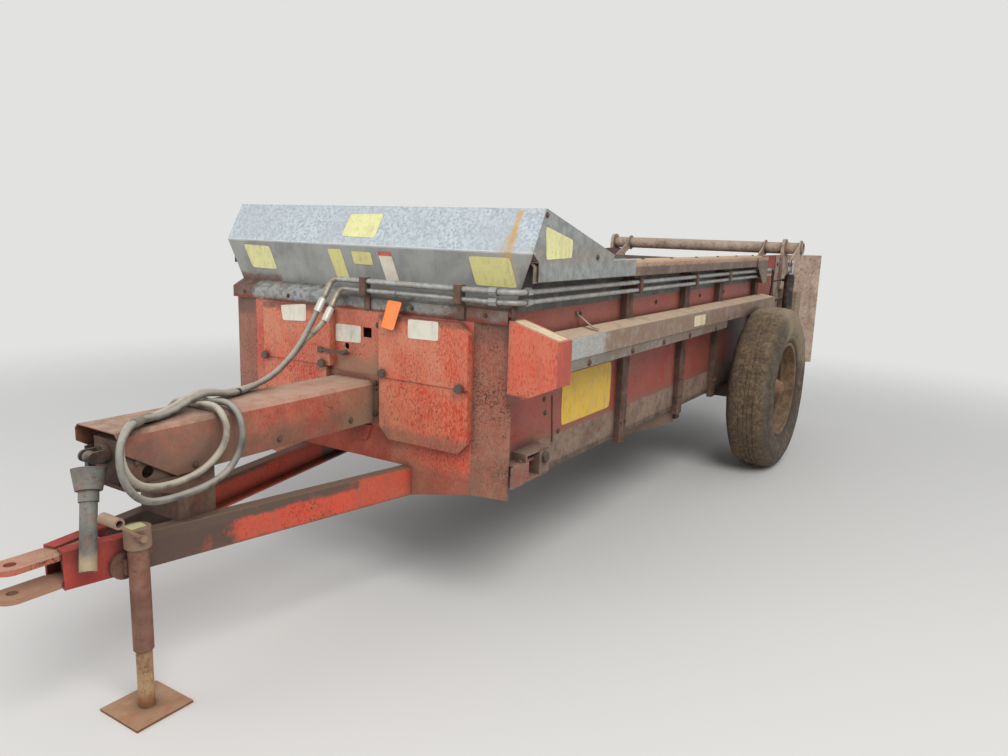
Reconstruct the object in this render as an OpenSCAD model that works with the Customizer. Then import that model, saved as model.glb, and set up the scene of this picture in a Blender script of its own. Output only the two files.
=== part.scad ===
// Single axle box spreader on its jack, millimetres, up is +Z, the hitch points along +X

/* [Load box] */
// Half width to the outer face of the side stakes
stake_y = 736; // [720:2:744]
// Distance from the front wall to the rear edge of the side walls
box_len = 4215; // [4205:1:4225]
// Height of the box floor above the ground
floor_z = 660; // [656:1:664]
// Thickness of the floor boards
floor_t = 24; // [20:1:28]
// Thickness of the side wall boards
wall_t = 19; // [16:1:20]
// Depth of the side stakes outside the wall
stake_d = 30; // [24:1:34]
// Width of a side stake along the box
stake_w = 76; // [60:2:90]
// Height of the upper face of the top rails
rail_z = 1374; // [1364:1:1384]
// Height of the top rail section
rail_h = 70; // [60:1:76]
// Width of the top rail section
rail_w = 92; // [88:1:94]
// Wall thickness of the top rail section
rail_t = 4; // [3:1:5]
// Height of the lower side board below the floor
board_h = 140; // [130:1:160]
// Thickness of the galvanised strip on the side walls
strip_t = 2; // [1:0.5:3]
// Distance of the first side stake behind the front wall
stake_first = 1075; // [1060:5:1090]
// Distance of the second side stake behind the front wall
stake_second = 1865; // [1850:5:1880]
// Distance of the third side stake ahead of the axle
stake_ahead = 417; // [412:1:422]
// Distance of the last side stake ahead of the rear edge of the side walls
stake_back = 915; // [910:1:920]
// Distance of the rear ends of the top rails ahead of the rear edge of the side walls
rail_back = 1065; // [1055:1:1075]

/* [Front wall] */
// Thickness of the front wall sheet
front_t = 5; // [3:1:7]
// Half width of the flat middle of the front wall
front_y = 590; // [560:2:600]
// Depth by which the corner strips lean back
strip_lean = 26; // [15:1:40]
// Thickness of the two access covers
cover_t = 30; // [20:1:36]
// Height of the lower edge of the galvanised cap band
band_z = 1155; // [1145:1:1165]

/* [Hood] */
// Overhang of the hood beyond the stakes at its crease
hood_out = 72; // [60:1:80]
// Height of the hood crease above the top rails
crease_up = 36; // [30:1:50]
// Height of the hood ridge above the crease
ridge_up = 157; // [140:1:170]
// Length of the galvanised flashing along the top rails
flash_len = 870; // [800:5:900]
// Sheet thickness of the hood
hood_t = 4; // [3:1:5]

/* [Drawbar] */
// Height of the drawbar rail section
draw_h = 116; // [110:1:124]
// Web thickness of the drawbar rails
draw_web = 7; // [5:1:9]
// Flange thickness of the drawbar rails
draw_flange = 8; // [6:1:10]
// Width of the drawbar rail flanges
draw_fw = 45; // [40:1:48]
// Distance of the hitch pin hole ahead of the front wall
hitch_x = 1361; // [1345:1:1375]
// Thickness of each hitch plate
plate_t = 16; // [12:1:18]
// Hitch pin hole diameter
hitch_bore = 32; // [26:1:38]
// Width of the hitch plates
plate_w = 92; // [80:2:94]

/* [Jack] */
// Outer diameter of the jack tube
jack_od = 60; // [54:1:64]
// Outer diameter of the jack leg
leg_od = 48; // [40:1:50]
// Edge length of the square foot plate
foot_w = 190; // [160:5:220]
// Length of the jack tube
jack_len = 330; // [300:5:340]

/* [Axle and wheels] */
// Distance of the axle ahead of the rear edge of the side walls
axle_back = 1318; // [1265:1:1365]
// Outside diameter of the tyres
tyre_d = 1054; // [1040:2:1070]
// Width of the tyres
tyre_w = 280; // [260:2:290]
// Distance between the stakes and the tyre shoulders, filled by the long cover
cover_w = 99; // [94:1:104]
// Outside diameter of the rim flanges
rim_d = 610; // [590:2:620]
// Height of the side shaft above the wheel axis
side_shaft_up = 518; // [512:1:522]
// Distance of the rear end of the long cover ahead of the rear edge of the side walls
cover_back = 765; // [760:1:775]
// Side of the square axle beam
axle_s = 90; // [80:2:96]
// Spindle diameter inside the hub
spindle_d = 60; // [50:1:64]
// Running gap between hub and spindle, each side
hub_gap = 0.05; // [0.03:0.01:0.08]

/* [Beater and endgate] */
// Distance of the beater axis ahead of the rear edge of the side walls
beat_back = 75; // [68:1:85]
// Height of the beater axis
beat_z = 980; // [970:1:1000]
// Diameter of the beater tube
beat_tube = 168; // [140:2:180]
// Reach of the beater paddles from the axis
beat_r = 290; // [260:2:300]
// Number of paddles along the beater
beat_n = 8; // [6:1:9]
// Distance of the endgate ahead of the rear edge of the side walls
gate_back = 763; // [757:1:770]
// Distance of the lift tube ahead of the rear edge of the side walls
lift_back = 145; // [135:1:155]
// Height of the lift tube axis above the top rails
lift_up = 50; // [46:1:56]
// Diameter of the lift tube
lift_d = 89; // [80:1:92]

/* [Apron] */
// Pitch of the apron bars
bar_pitch = 320; // [280:10:360]
// Height of an apron bar
bar_h = 30; // [24:1:34]
// Distance of the two chains from the centre line
chain_y = 420; // [380:5:440]
// Radius of the chain round its shafts
chain_r = 51; // [48:1:54]
// Distance of the front apron shaft behind the front wall
idle_x = 240; // [235:1:260]

/* [Pipes and hoses] */
// Outside diameter of the upper pipe
pipe_d = 22; // [20:1:24]
// Height of the upper pipe
pipe_z = 1272; // [1268:1:1276]
// Distance of the rear ends of the pipes ahead of the rear edge of the side walls
pipe_back = 735; // [730:1:740]
// Outside diameter of the two long hoses
hose_d = 22; // [18:1:22]
// Outside diameter of the two cylinder hoses
short_hose_d = 14; // [10:1:16]

/* [Hidden] */
$fn = 48;
// Places and sizes that follow from the named values above
wall_y = stake_y - stake_d;
in_y = wall_y - wall_t;
wheel_z = tyre_d / 2;
board_z = floor_z - board_h;
crease_z = rail_z + crease_up;
ridge_z = crease_z + ridge_up;
hood_low = band_z + 80;
hood_y = stake_y + hood_out;
rail_y1 = in_y + rail_w + 20;
axle_x = box_len - axle_back;
beat_x = box_len - beat_back;
gate_x = box_len - gate_back;
lift_x = box_len - lift_back;
lift_z = rail_z + lift_up;
cyl_back = 425;
base_x = box_len - cyl_back;
flare = 215;
// The shift puts the middle of the whole length at the origin
front_reach = hitch_x + plate_w / 2;
rear_reach = box_len + flare;
sx = (rear_reach - front_reach) / 2;
e = 0.01;

module frame() {
  translate([sx, 0, 0]) children();
}
module slab(a, b) {
  translate(a) cube([b[0] - a[0], b[1] - a[1], b[2] - a[2]]);
}
// A plate with its outline in the XZ plane, from y0 to y1
module side_plate(y0, y1) {
  translate([0, y1, 0]) rotate([90, 0, 0]) linear_extrude(height = y1 - y0) children();
}
// A plate with its outline in the YZ plane, from x0 to x1
module front_plate(x0, x1) {
  translate([x0, 0, 0]) rotate([90, 0, 90]) linear_extrude(height = x1 - x0) children();
}
module bar_y(x, z, d, y0, y1) {
  translate([x, y0, z]) rotate([-90, 0, 0]) cylinder(d = d, h = y1 - y0);
}
module bar_x(y, z, d, x0, x1) {
  translate([x0, y, z]) rotate([0, 90, 0]) cylinder(d = d, h = x1 - x0);
}
module mirrored() {
  mirror([0, 1, 0]) children();
}
// Drawbar and the drive line above it
sill_y = wall_y - 8;
shaft_z = floor_z + 12 - chain_r;
return_z = shaft_z - chain_r - 22;
draw_top = return_z;
tie_x = 1900;
rail_x0 = 1245;
rail_rear_y = sill_y - 6;
seat_gap = 0.2;
rail_ang = atan((rail_rear_y - 50) / (rail_x0 + tie_x));
notch_y = 50 + (rail_x0 + front_t) * tan(rail_ang) + seat_gap;
deck_z = draw_top + 152;
tunnel_z = draw_top + 325;
tunnel_y = 110;
pto_z = draw_top + 244;
joint_x = 1122;
joint_y = 0;
joint_z = pto_z;
hang = 26.4;
hang_az = 52.6;
jack_x = 1066;
jack_y = 131;
jack_z0 = draw_top - 350;
disc_x = jack_x + 20;
disc_y = 50 + (rail_x0 - disc_x) * tan(rail_ang);
disc_z = draw_top - 85;
// Box, apron and side drive
deck_x0 = 150;
drive_back = 255;
drive_x = box_len - drive_back;
grid_n = 5;
grid_step = (drive_x - idle_x - 390) / grid_n;
rail_x1 = box_len - rail_back;
stake_xs = [stake_first, stake_second, axle_x - stake_ahead, box_len - stake_back];
strip_z = band_z + 35;
shaft_y = stake_y + 39;
side_shaft_z = wheel_z + side_shaft_up;
gear_top = max(side_shaft_z, beat_z) + 45;
cover_y = stake_y + cover_w;
cover_x1 = box_len - cover_back;
gear_front = beat_x - 88;
gear_rear = beat_x + 80;
take_y = shaft_y;
link_pitch = bar_pitch / 4;
// Wheels stand beside the long cover
track_y = cover_y + tyre_w / 2 - 5;
hub_y0 = track_y - 170;
hub_y1 = track_y + 10;
hub_r = 75;
// Endgate, lift tube and cylinder
gate_t = 8;
beat_half = in_y - 47;
arm_y = in_y - 112;
arm_len = 560;
arm_pin = 24;
arm_dip = 25;
pin_z = lift_z - arm_len * sin(arm_dip);
lever_dip = 20;
lever_y = wall_y + 139;
lever_len = 300;
eye_pin = 22;
eye_play = 7;
fork_l = 60;
base_z = floor_z + 100;
eye_x = -lift_x + lever_len * cos(lever_dip);
eye_z = lift_z - lever_len * sin(lever_dip);
cyl_closed = sqrt(pow(eye_x + base_x, 2) + pow(eye_z - base_z, 2));
cyl_lean = atan2(eye_x + base_x, eye_z - base_z);
port_low = 90;
port_high = 430;
port_d = 22;
// Pipes, their bent ends and the hoses on them
pipe_x = 22;
pipe_y = stake_y + 39;
pipe_drop = 36;
pipe_x1 = box_len - pipe_back;
elbow_r = 30;
ferrule_l = 55;
hose_lean = 34;
pipe_end = [-70, -30];
upper_route = [
  [69.5, -100, 1201.5], [103, -100, 1152], [150, -100, 1086], [205, -98, 1022], [272, -95, 965],
  [350, -88, 923], [435, -79, 898], [515, -65, 887], [585, -47, 890], [650, -27, 905],
  [710, -9, 915], [770, 7, 911], [835, 26, 895], [905, 50, 887], [970, 76, 893],
  [1030, 106, 899], [1082, 138, 889], [1124, 168, 856], [1143, 192, 808], [1138, 205, 755],
  [1108, 206, 709], [1060, 198, 680], [1000, 188, 668], [930, 178, 664], [860, 168, 665],
  [795, 162, 678], [745, 160, 706], [713, 160, 750], [700, 160, 800], [699, 149, 850],
  [698, 119, 882], [697, 76, 896], [696, 20, 890], [695, -45, 886], [694, -100, 884],
  [693, -142, 861], [692, -168, 820], [692, -177, 770], [692, -177, 715]
];
lower_route = [
  [69.5, -60, 1165.5], [100, -60, 1120], [130, -80, 1075], [160, -112, 1035], [196, -126, 990],
  [245, -131, 950], [305, -128, 915], [375, -117, 895], [450, -105, 886], [525, -90, 886],
  [595, -72, 893], [655, -54, 908], [715, -36, 915], [775, -19, 909], [840, -1, 893],
  [905, 21, 886], [965, 46, 888], [1020, 75, 892], [1068, 108, 880], [1104, 137, 848],
  [1117, 160, 803], [1104, 170, 759], [1070, 168, 725], [1022, 160, 706], [965, 152, 698],
  [905, 146, 699], [850, 145, 711], [800, 146, 739], [768, 152, 779], [757, 156, 825],
  [755, 141, 863], [753, 108, 890], [752, 62, 896], [751, 5, 888], [750, -52, 886],
  [749, -104, 885], [747, -145, 858], [746, -168, 817], [746, -174, 765], [746, -174, 715]
];
short_upper_route = [
  [-3480, 775, 1272], [-3505, 775, 1272], [-3530, 775, 1271], [-3558, 773, 1264], [-3585, 770, 1253],
  [-3612, 765, 1240], [-3640, 757, 1222], [-3666, 749, 1206], [-3690, 743, 1193], [-3716, 740, 1183],
  [-3742, 741, 1179], [-3766, 750, 1182], [-3782, 765, 1188], [-3789, 781, 1190], [-3789, 795, 1190]
];
short_lower_route = [
  [-3480, 775, 1236], [-3515, 775, 1236], [-3555, 773, 1224], [-3587, 769, 1192], [-3608, 763, 1148],
  [-3622, 756, 1100], [-3633, 749, 1050], [-3644, 743, 1000], [-3658, 739, 950], [-3680, 738, 905],
  [-3710, 739, 869], [-3742, 743, 852], [-3769, 754, 848], [-3786, 769, 849], [-3790, 782, 850],
  [-3790, 795, 850]
];

module linear_z(z0, z1) {
  translate([0, 0, z0]) linear_extrude(height = z1 - z0) children();
}
function unit(v) = v / norm(v);
function heading(p, i) = unit(p[min(i + 1, len(p) - 1)] - p[max(i - 1, 0)]);
function side_of(p, i) = i == 0 ? unit(cross(heading(p, 0), [0, 1, 0.1]))
  : let (s = side_of(p, i - 1), h = heading(p, i)) unit(s - h * (h * s));
// A round tube of ten sides swept along a list of points
module tube_along(p, d) {
  n = 10;
  last = (len(p) - 1) * n;
  rings = [for (i = [0:len(p) - 1]) let (u = side_of(p, i), v = cross(heading(p, i), u))
    for (k = [0:n - 1]) p[i] + d / 2 * (cos(k * 360 / n) * u + sin(k * 360 / n) * v)];
  skin = [for (i = [0:len(p) - 2]) for (k = [0:n - 1]) let (a = i * n + k, b = i * n + (k + 1) % n)
    each [[a, a + n, b], [b, a + n, b + n]]];
  polyhedron(points = rings, faces = concat(skin, [[for (k = [0:n - 1]) k]],
    [[for (k = [n - 1:-1:0]) last + k]]));
}
// Drawbar rail, web outside and flanges inside, cut square at the tie beam
module rail_profile() {
  translate([-draw_web, 0]) square([draw_web, draw_h]);
  translate([-draw_fw, 0]) square([draw_fw, draw_flange]);
  translate([-draw_fw, draw_h - draw_flange]) square([draw_fw, draw_flange]);
}
module rail_raw() {
  intersection() {
    translate([-tie_x, rail_rear_y, draw_top - draw_h]) rotate([0, 0, -rail_ang])
      translate([-60, 0, 0]) rotate([90, 0, 90])
        linear_extrude(height = (rail_x0 + tie_x) / cos(rail_ang) + 60) rail_profile();
    slab([-tie_x, -10, 0], [1400, 800, 700]);
  }
}
module drawbar_rail_left() {
  color("firebrick") frame() rail_raw();
}
module drawbar_rail_right() {
  color("firebrick") frame() mirrored() rail_raw();
}
// Two hitch plates between the rail flanges, and the spacer block that is clamped between them
module hitch_plate_2d() {
  difference() {
    union() {
      translate([hitch_x - 110, -plate_w / 2]) square([110, plate_w]);
      translate([hitch_x - 250, -plate_w / 2 + 6]) square([250, plate_w - 12]);
      translate([hitch_x, 0]) circle(d = plate_w);
    }
    translate([hitch_x, 0]) circle(d = hitch_bore);
  }
}
module hitch_clevis() {
  zt = draw_top - draw_flange;
  zb = draw_top - draw_h + draw_flange;
  color("sienna") frame() {
    linear_z(zt - plate_t, zt) hitch_plate_2d();
    linear_z(zb, zb + plate_t) hitch_plate_2d();
    slab([hitch_x - 250, -30, zb + plate_t + seat_gap], [hitch_x - 150, 30, zt - plate_t - seat_gap]);
  }
}
// Grid under the floor
module cross_frame() {
  z1 = floor_z - floor_t;
  color("saddlebrown") frame() {
    for (i = [0:grid_n])
      slab([-idle_x - 150 - i * grid_step, -sill_y, z1 - 40],
           [-idle_x - 110 - i * grid_step, sill_y, z1]);
    for (s = [-1, 1])
      slab([-idle_x - 150 - grid_n * grid_step, s * 200 - 20, z1 - 40],
           [-idle_x - 110, s * 200 + 20, z1]);
  }
}
module tie_beam() {
  color("saddlebrown") frame()
    slab([-tie_x - 60, -wall_y, board_z - 70], [-tie_x, wall_y, board_z]);
}
module axle_beam() {
  a = axle_s / 2;
  color("dimgray") frame() {
    slab([-axle_x - a, -wall_y - 20, board_z - axle_s], [-axle_x + a, wall_y + 20, board_z]);
    for (s = [0, 1]) mirror([0, s, 0]) {
      slab([-axle_x - a, wall_y + 20 - e, board_z - axle_s],
           [-axle_x + a, wall_y + 40, wheel_z + 45]);
      bar_y(-axle_x, wheel_z, spindle_d + 20, wall_y + 40 - e, hub_y0 - 6);
      bar_y(-axle_x, wheel_z, spindle_d, hub_y0 - 6 - e, hub_y1 - 30);
    }
  }
}
module sill_raw() {
  slab([-box_len, sill_y, board_z], [-25, wall_y, floor_z]);
}
// Take up for the apron chain, a screw and a sliding bearing between two bars, and a step tab
module take_up() {
  b = take_y - 5;
  for (z = [shaft_z - 71, shaft_z + 29])
    slab([-idle_x - 46, wall_y - e, z], [-105, b, z + 10]);
  slab([-115, wall_y - e, shaft_z - 71], [-105, b, shaft_z + 39]);
  slab([-idle_x - 46, wall_y - e, shaft_z - 71], [-idle_x - 40, b, shaft_z + 39]);
  difference() {
    slab([-idle_x - 36, wall_y + 12, shaft_z - 62], [-idle_x + 36, b + 4, shaft_z + 30]);
    bar_y(-idle_x, shaft_z, 40.2, wall_y, b + 20);
  }
  bar_x(wall_y + 38, shaft_z, 16, -idle_x + 36 - e, -85);
  for (x = [-132, -105]) bar_x(wall_y + 38, shaft_z, 30, x, x + 12);
  slab([-130, wall_y - e, board_z + 102], [-36, take_y - 5, board_z + 108]);
  side_plate(take_y - 11, take_y - 5) polygon([[-130, board_z + 108], [-7, board_z + 108],
    [-7, board_z + 27], [-90, board_z + 27], [-130, board_z + 52]]);
}
module sill_left() {
  color("rosybrown") frame() {
    difference() {
      sill_raw();
      bar_y(-idle_x, shaft_z, 44, sill_y - 5, wall_y + 5);
    }
    take_up();
  }
}
module sill_right() {
  color("rosybrown") frame() mirrored() sill_raw();
}
module floor() {
  color("burlywood") frame()
    slab([-drive_x + 75, -sill_y, floor_z - floor_t], [-idle_x - 75, sill_y, floor_z]);
}
module wall_raw() {
  difference() {
    side_plate(in_y, wall_y) polygon([[-box_len, floor_z], [-25, floor_z], [-25, band_z + 40],
      [-66, band_z + 70], [-66, rail_z - rail_t], [-box_len, rail_z - rail_t]]);
    bar_y(-beat_x, beat_z, 80, in_y - 10, wall_y + 10);
  }
}
module side_wall_left() {
  color("indianred") frame() wall_raw();
}
module side_wall_right() {
  color("indianred") frame() mirrored() wall_raw();
}
// Upright side stakes, a channel open to the wall
module stake(x) {
  t = 4;
  difference() {
    slab([-x - stake_w / 2, wall_y, board_z - 24], [-x + stake_w / 2, stake_y, rail_z - rail_h]);
    slab([-x - stake_w / 2 + t, wall_y - 1, board_z - 30],
         [-x + stake_w / 2 - t, stake_y - t, rail_z - rail_h - 10]);
    slab([-x - stake_w, wall_y - 1, strip_z], [-x + stake_w, wall_y + strip_t, rail_z]);
  }
}
module stakes_left() {
  color("brown") frame() for (x = stake_xs) stake(x);
}
module stakes_right() {
  color("brown") frame() mirrored() for (x = stake_xs) stake(x);
}
// Top rail, a downturned section that caps the wall
module top_rail_raw() {
  y1 = rail_y1;
  front_plate(-rail_x1, -60)
    polygon([[in_y, rail_z], [in_y, rail_z - rail_t], [y1 - rail_t - 10, rail_z - rail_t],
      [y1 - rail_t, rail_z - rail_t - 10], [y1 - rail_t, rail_z - rail_h],
      [y1, rail_z - rail_h], [y1, rail_z - 12], [y1 - 12, rail_z]]);
}
// Upright angle at the rear end of the left rail, set against the last stake
module rail_bracket() {
  x0 = -stake_xs[3] + 30;
  side_plate(rail_y1 - e, rail_y1 + 6) polygon([[x0, rail_z - 187], [x0 + 90, rail_z - 187],
    [x0 + 250, rail_z - rail_h + 6], [x0 + 250, rail_z - 14], [x0, rail_z - 5]]);
  difference() {
    slab([x0 - 6, stake_y, rail_z - 187], [x0 + e, rail_y1 + 6, rail_z - 5]);
    slab([x0 - 10, stake_y + 14, pipe_z - pipe_drop - 22], [x0 + 1, rail_y1 - 1, pipe_z + 22]);
  }
}
module top_rail_left() {
  color("tan") frame() {
    top_rail_raw();
    rail_bracket();
  }
}
module top_rail_right() {
  color("tan") frame() mirrored() top_rail_raw();
}
// Front wall with the space of the two drawbar rails cut out below, its holes and a lever
module front_wall() {
  zl = draw_top - draw_h;
  wall_low = board_z - 28;
  color("firebrick") frame() {
    difference() {
      front_plate(-front_t, 0)
        polygon([[-notch_y, draw_top], [notch_y, draw_top], [notch_y, zl],
          [front_y, wall_low], [front_y, band_z + 25], [-front_y, band_z + 25],
          [-front_y, wall_low], [-notch_y, zl]]);
      slab([-front_t - 1, 46, band_z - 110], [1, 92, band_z - 70]);
      bar_x(-42, band_z - 156, 26, -front_t - 1, 1);
    }
    slab([cover_t + 2, -162, band_z - 186], [cover_t + 8, -25, band_z - 174]);
    bar_x(-34, band_z - 180, 22, -e, cover_t + 12);
    slab([cover_t + 2, -174, band_z - 191], [cover_t + 8, -150, band_z - 169]);
    front_plate(0, 8) polygon([[-30, deck_z - 14], [100, deck_z - 14], [70, deck_z - 80],
      [0, deck_z - 80]]);
  }
}
module inner_front() {
  color("rosybrown") frame()
    slab([-deck_x0, -in_y, floor_z], [-deck_x0 + 6, in_y, rail_z - 74]);
}
module strip_raw() {
  linear_z(board_z - 28, band_z + 25)
    polygon([[0, front_y], [-strip_lean, stake_y + 6], [-strip_lean - 5, stake_y + 6],
      [-5, front_y]]);
}
module corner_strip_left() {
  color("firebrick") frame() strip_raw();
}
module corner_strip_right() {
  color("firebrick") frame() mirrored() strip_raw();
}
// Hand knob with a six sided head on its stud
module knob(y, z) {
  bar_x(y, z, 14, cover_t - 1, cover_t + 10);
  translate([cover_t + 6, y, z]) rotate([0, 90, 0]) cylinder(d = 36, h = 12, $fn = 6);
}
// Access covers in front of the wall, each an upper and a lower plate with its knobs
module cover_left() {
  y0 = -front_y + 80;
  seam = band_z - 243;
  color("firebrick") frame() {
    front_plate(0, cover_t)
      polygon([[y0, seam], [y0, band_z - 8], [-110, band_z - 8], [-110, seam]]);
    front_plate(0, cover_t - 4)
      polygon([[y0, seam - 252], [y0, seam + e], [-135, seam + e], [-135, seam - 212],
        [-175, seam - 252]]);
    knob(y0 + 18, seam + 4);
    knob(-150, seam + 7);
  }
}
module cover_right() {
  z1 = band_z - 8;
  y1 = front_y - 5;
  seam = band_z - 255;
  color("firebrick") frame() {
    front_plate(0, cover_t)
      polygon([[155, seam], [155, z1], [y1 - 40, z1], [y1, z1 - 40], [y1, seam]]);
    front_plate(0, cover_t - 4)
      polygon([[155, seam + e], [155, seam - 200], [205, seam - 250], [y1 - 40, seam - 250],
        [y1, seam - 210], [y1, seam + e]]);
    knob(179, seam + 17);
    knob(y1 - 31, seam + 4);
  }
}
// Galvanised cap band, upright face then a lean back to the hood, and the strips on the walls
module cap_band() {
  color("silver") frame() {
    side_plate(-stake_y, stake_y)
      polygon([[0, band_z], [3, band_z], [3, band_z + 49], [-56, hood_low], [-60, hood_low],
        [-60, hood_low - 3.5], [0, band_z + 46]]);
    for (s = [0, 1]) mirror([0, s, 0]) side_plate(wall_y, wall_y + strip_t)
      polygon([[-stake_xs[3] - stake_w / 2, strip_z], [-66, strip_z], [-60, hood_low - 3.5],
        [-60, rail_z - rail_t], [-stake_xs[3] - stake_w / 2, rail_z - rail_t]]);
  }
}
// Hood, two long sheets bent at the crease, a wing at each end and flashing over the rails
module hood() {
  xl = -60;
  xc = -36;
  xr = -123;
  t = hood_t;
  lo = stake_y;
  lap = rail_z + 3;
  color("gainsboro") frame() {
    multmatrix([[1, 0, (xc - xl) / (crease_z - hood_low), xl - hood_low * (xc - xl) / (crease_z - hood_low)],
      [0, 1, 0, 0], [0, 0, 1, 0], [0, 0, 0, 1]])
      front_plate(0, t) polygon([[-lo, hood_low], [lo, hood_low], [hood_y, crease_z], [-hood_y, crease_z]]);
    side_plate(-hood_y, hood_y)
      polygon([[xc, crease_z - 2], [xc + t, crease_z], [xr + t, ridge_z], [xr, ridge_z]]);
    for (s = [0, 1]) mirror([0, s, 0]) {
      side_plate(hood_y - t, hood_y)
        polygon([[xc, crease_z], [xr, ridge_z], [-718, rail_z + 26], [-700, lap], [-80, lap]]);
      front_plate(-80 - flash_len, -80)
        polygon([[in_y + 12, rail_z], [in_y + 12, lap], [in_y + 58, lap], [in_y + 61, lap + 5],
          [in_y + 67, lap + 5], [in_y + 70, lap], [hood_y, lap], [hood_y, rail_z - rail_h + 4],
          [hood_y - t, rail_z - rail_h + 4], [hood_y - t, rail_z]]);
    }
  }
}
// Bevel gear shield beside the left front corner
module gear_shield() {
  y0 = stake_y + 6;
  y1 = stake_y + 208;
  z = side_shaft_z;
  color("orangered") frame() difference() {
    front_plate(-100, 2) polygon([[y0, z + 127], [y1, z + 68], [y1, z - 92], [y0, z - 183]]);
    front_plate(-101, -1) polygon([[y0 - 5, z + 125], [y1 - 3, z + 65], [y1 - 3, z - 115],
      [y0 - 5, z - 225]]);
  }
}
module side_shaft() {
  color("dimgray") frame() bar_x(shaft_y, side_shaft_z, 30, -gear_front, -60);
}
// Long cover over the side shaft, fixed to the stakes, with a lower lip ahead of the wheel
module driveline_cover() {
  a = stake_y;
  b = cover_y;
  z = side_shaft_z;
  color("silver") frame() {
    front_plate(-cover_x1, -230)
      polygon([[a, z - 15], [a + 3, z - 15], [a + 3, z + 52], [b - 5, z + 35], [b - 3, z + 33],
        [b - 3, z - 45], [b, z - 45], [b, z + 35], [b - 3, z + 38], [a, z + 55]]);
    front_plate(-axle_x + tyre_d / 2 + 30, -260)
      polygon([[b - 8, z - 90], [b - 5, z - 90], [b - 3, z - 41], [b - 3, z - 15], [b - 5, z - 15]]);
  }
}
module rear_gearbox() {
  zl = min(side_shaft_z - 45, beat_z - 90);
  color("saddlebrown") frame() difference() {
    slab([-gear_rear, wall_y + 6, zl], [-gear_front, cover_y + 15, gear_top]);
    bar_y(-beat_x, beat_z, 60.1, wall_y, shaft_y + 25);
  }
}
// Stand between the drawbar rails, a bent plate with a front web
module tunnel_stand() {
  color("saddlebrown") frame() difference() {
    union() {
      slab([765, -98, draw_top], [905, 98, deck_z]);
      slab([905 - e, -tunnel_y + 4, deck_z - 6], [1080, tunnel_y - 4, deck_z]);
      slab([1040, -60, deck_z - e], [1070, 60, deck_z + 138]);
      for (s = [-1, 1]) side_plate(s * 95 - 3, s * 95 + 3)
        polygon([[899, deck_z - 60], [1080, deck_z - 6], [1080, deck_z + 100], [899, deck_z + 100]]);
    }
    slab([764, -92, draw_top - 1], [899, 92, deck_z - 6]);
    bar_x(0, pto_z, 36.1, 1030, 1080);
    bar_y(1000, deck_z + 35, 40, -tunnel_y, tunnel_y);
  }
}
// Shield over the shaft, open below, its sides cut back at the front
module tunnel_shield() {
  t = 3;
  y = tunnel_y;
  z = tunnel_z;
  low = deck_z;
  color("firebrick") frame() {
    difference() {
      front_plate(6, 1098)
        polygon([[-y, low], [-y, z - 14], [-y + 14, z], [y - 14, z], [y, z - 14], [y, low]]);
      front_plate(5, 1099)
        polygon([[-y + 3, low - 10], [-y + 3, z - 16], [-y + 15, z - t], [y - 15, z - t],
          [y - 3, z - 16], [y - 3, low - 10]]);
      side_plate(-y - 10, y + 10) polygon([[890, low - 10], [1100, low + 120], [1110, low - 10]]);
      side_plate(-y - 10, y + 10) polygon([[0, low - 10], [0, low + 4], [905, low + 4], [905, low - 10]]);
    }
    difference() {
      front_plate(0, 6)
        polygon([[-y - 25, low + 4], [-y - 25, z + 22], [y + 25, z + 22], [y + 25, low + 4]]);
      front_plate(-1, 7)
        polygon([[-y + 3, low], [-y + 3, z - 16], [-y + 15, z - t], [y - 15, z - t],
          [y - 3, z - 16], [y - 3, low]]);
    }
  }
}
module line_shaft() {
  color("gray") frame() {
    bar_x(0, pto_z, 36, 0, 1080);
    bar_x(0, pto_z, 60, 1071, 1090);
    for (s = [-1, 1]) {
      slab([1089, s * 24 - 4, pto_z - 18], [joint_x, s * 24 + 4, pto_z + 18]);
      bar_y(joint_x, joint_z, 36, s * 24 - 4, s * 24 + 4);
    }
    bar_y(joint_x, joint_z, 16, -28, 28);
  }
}
// Half shaft that hangs from the cross of the joint, with its bell guard
module swing_shaft() {
  color("darkslategray") frame() translate([joint_x, joint_y, joint_z]) difference() {
    rotate([0, 0, hang_az]) rotate([0, 180 - hang, 0]) {
      sphere(r = 19);
      cylinder(d = 22, h = 102);
      translate([0, 0, 36]) difference() {
        cylinder(d1 = 98, d2 = 74, h = 64);
        translate([0, 0, -1]) cylinder(d1 = 90, d2 = 66, h = 57);
      }
      translate([0, 0, 99]) cylinder(d = 56, h = 34);
      difference() {
        translate([0, 0, 132]) cylinder(d = 48, h = 198);
        translate([0, 0, 200]) cylinder(d = 35, h = 140);
      }
    }
    bar_y(0, 0, 16.1, -40, 40);
    for (s = [-1, 1]) slab([-30, s * 30 - 13, -30], [30, s * 30 + 13, 30]);
  }
}
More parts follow.
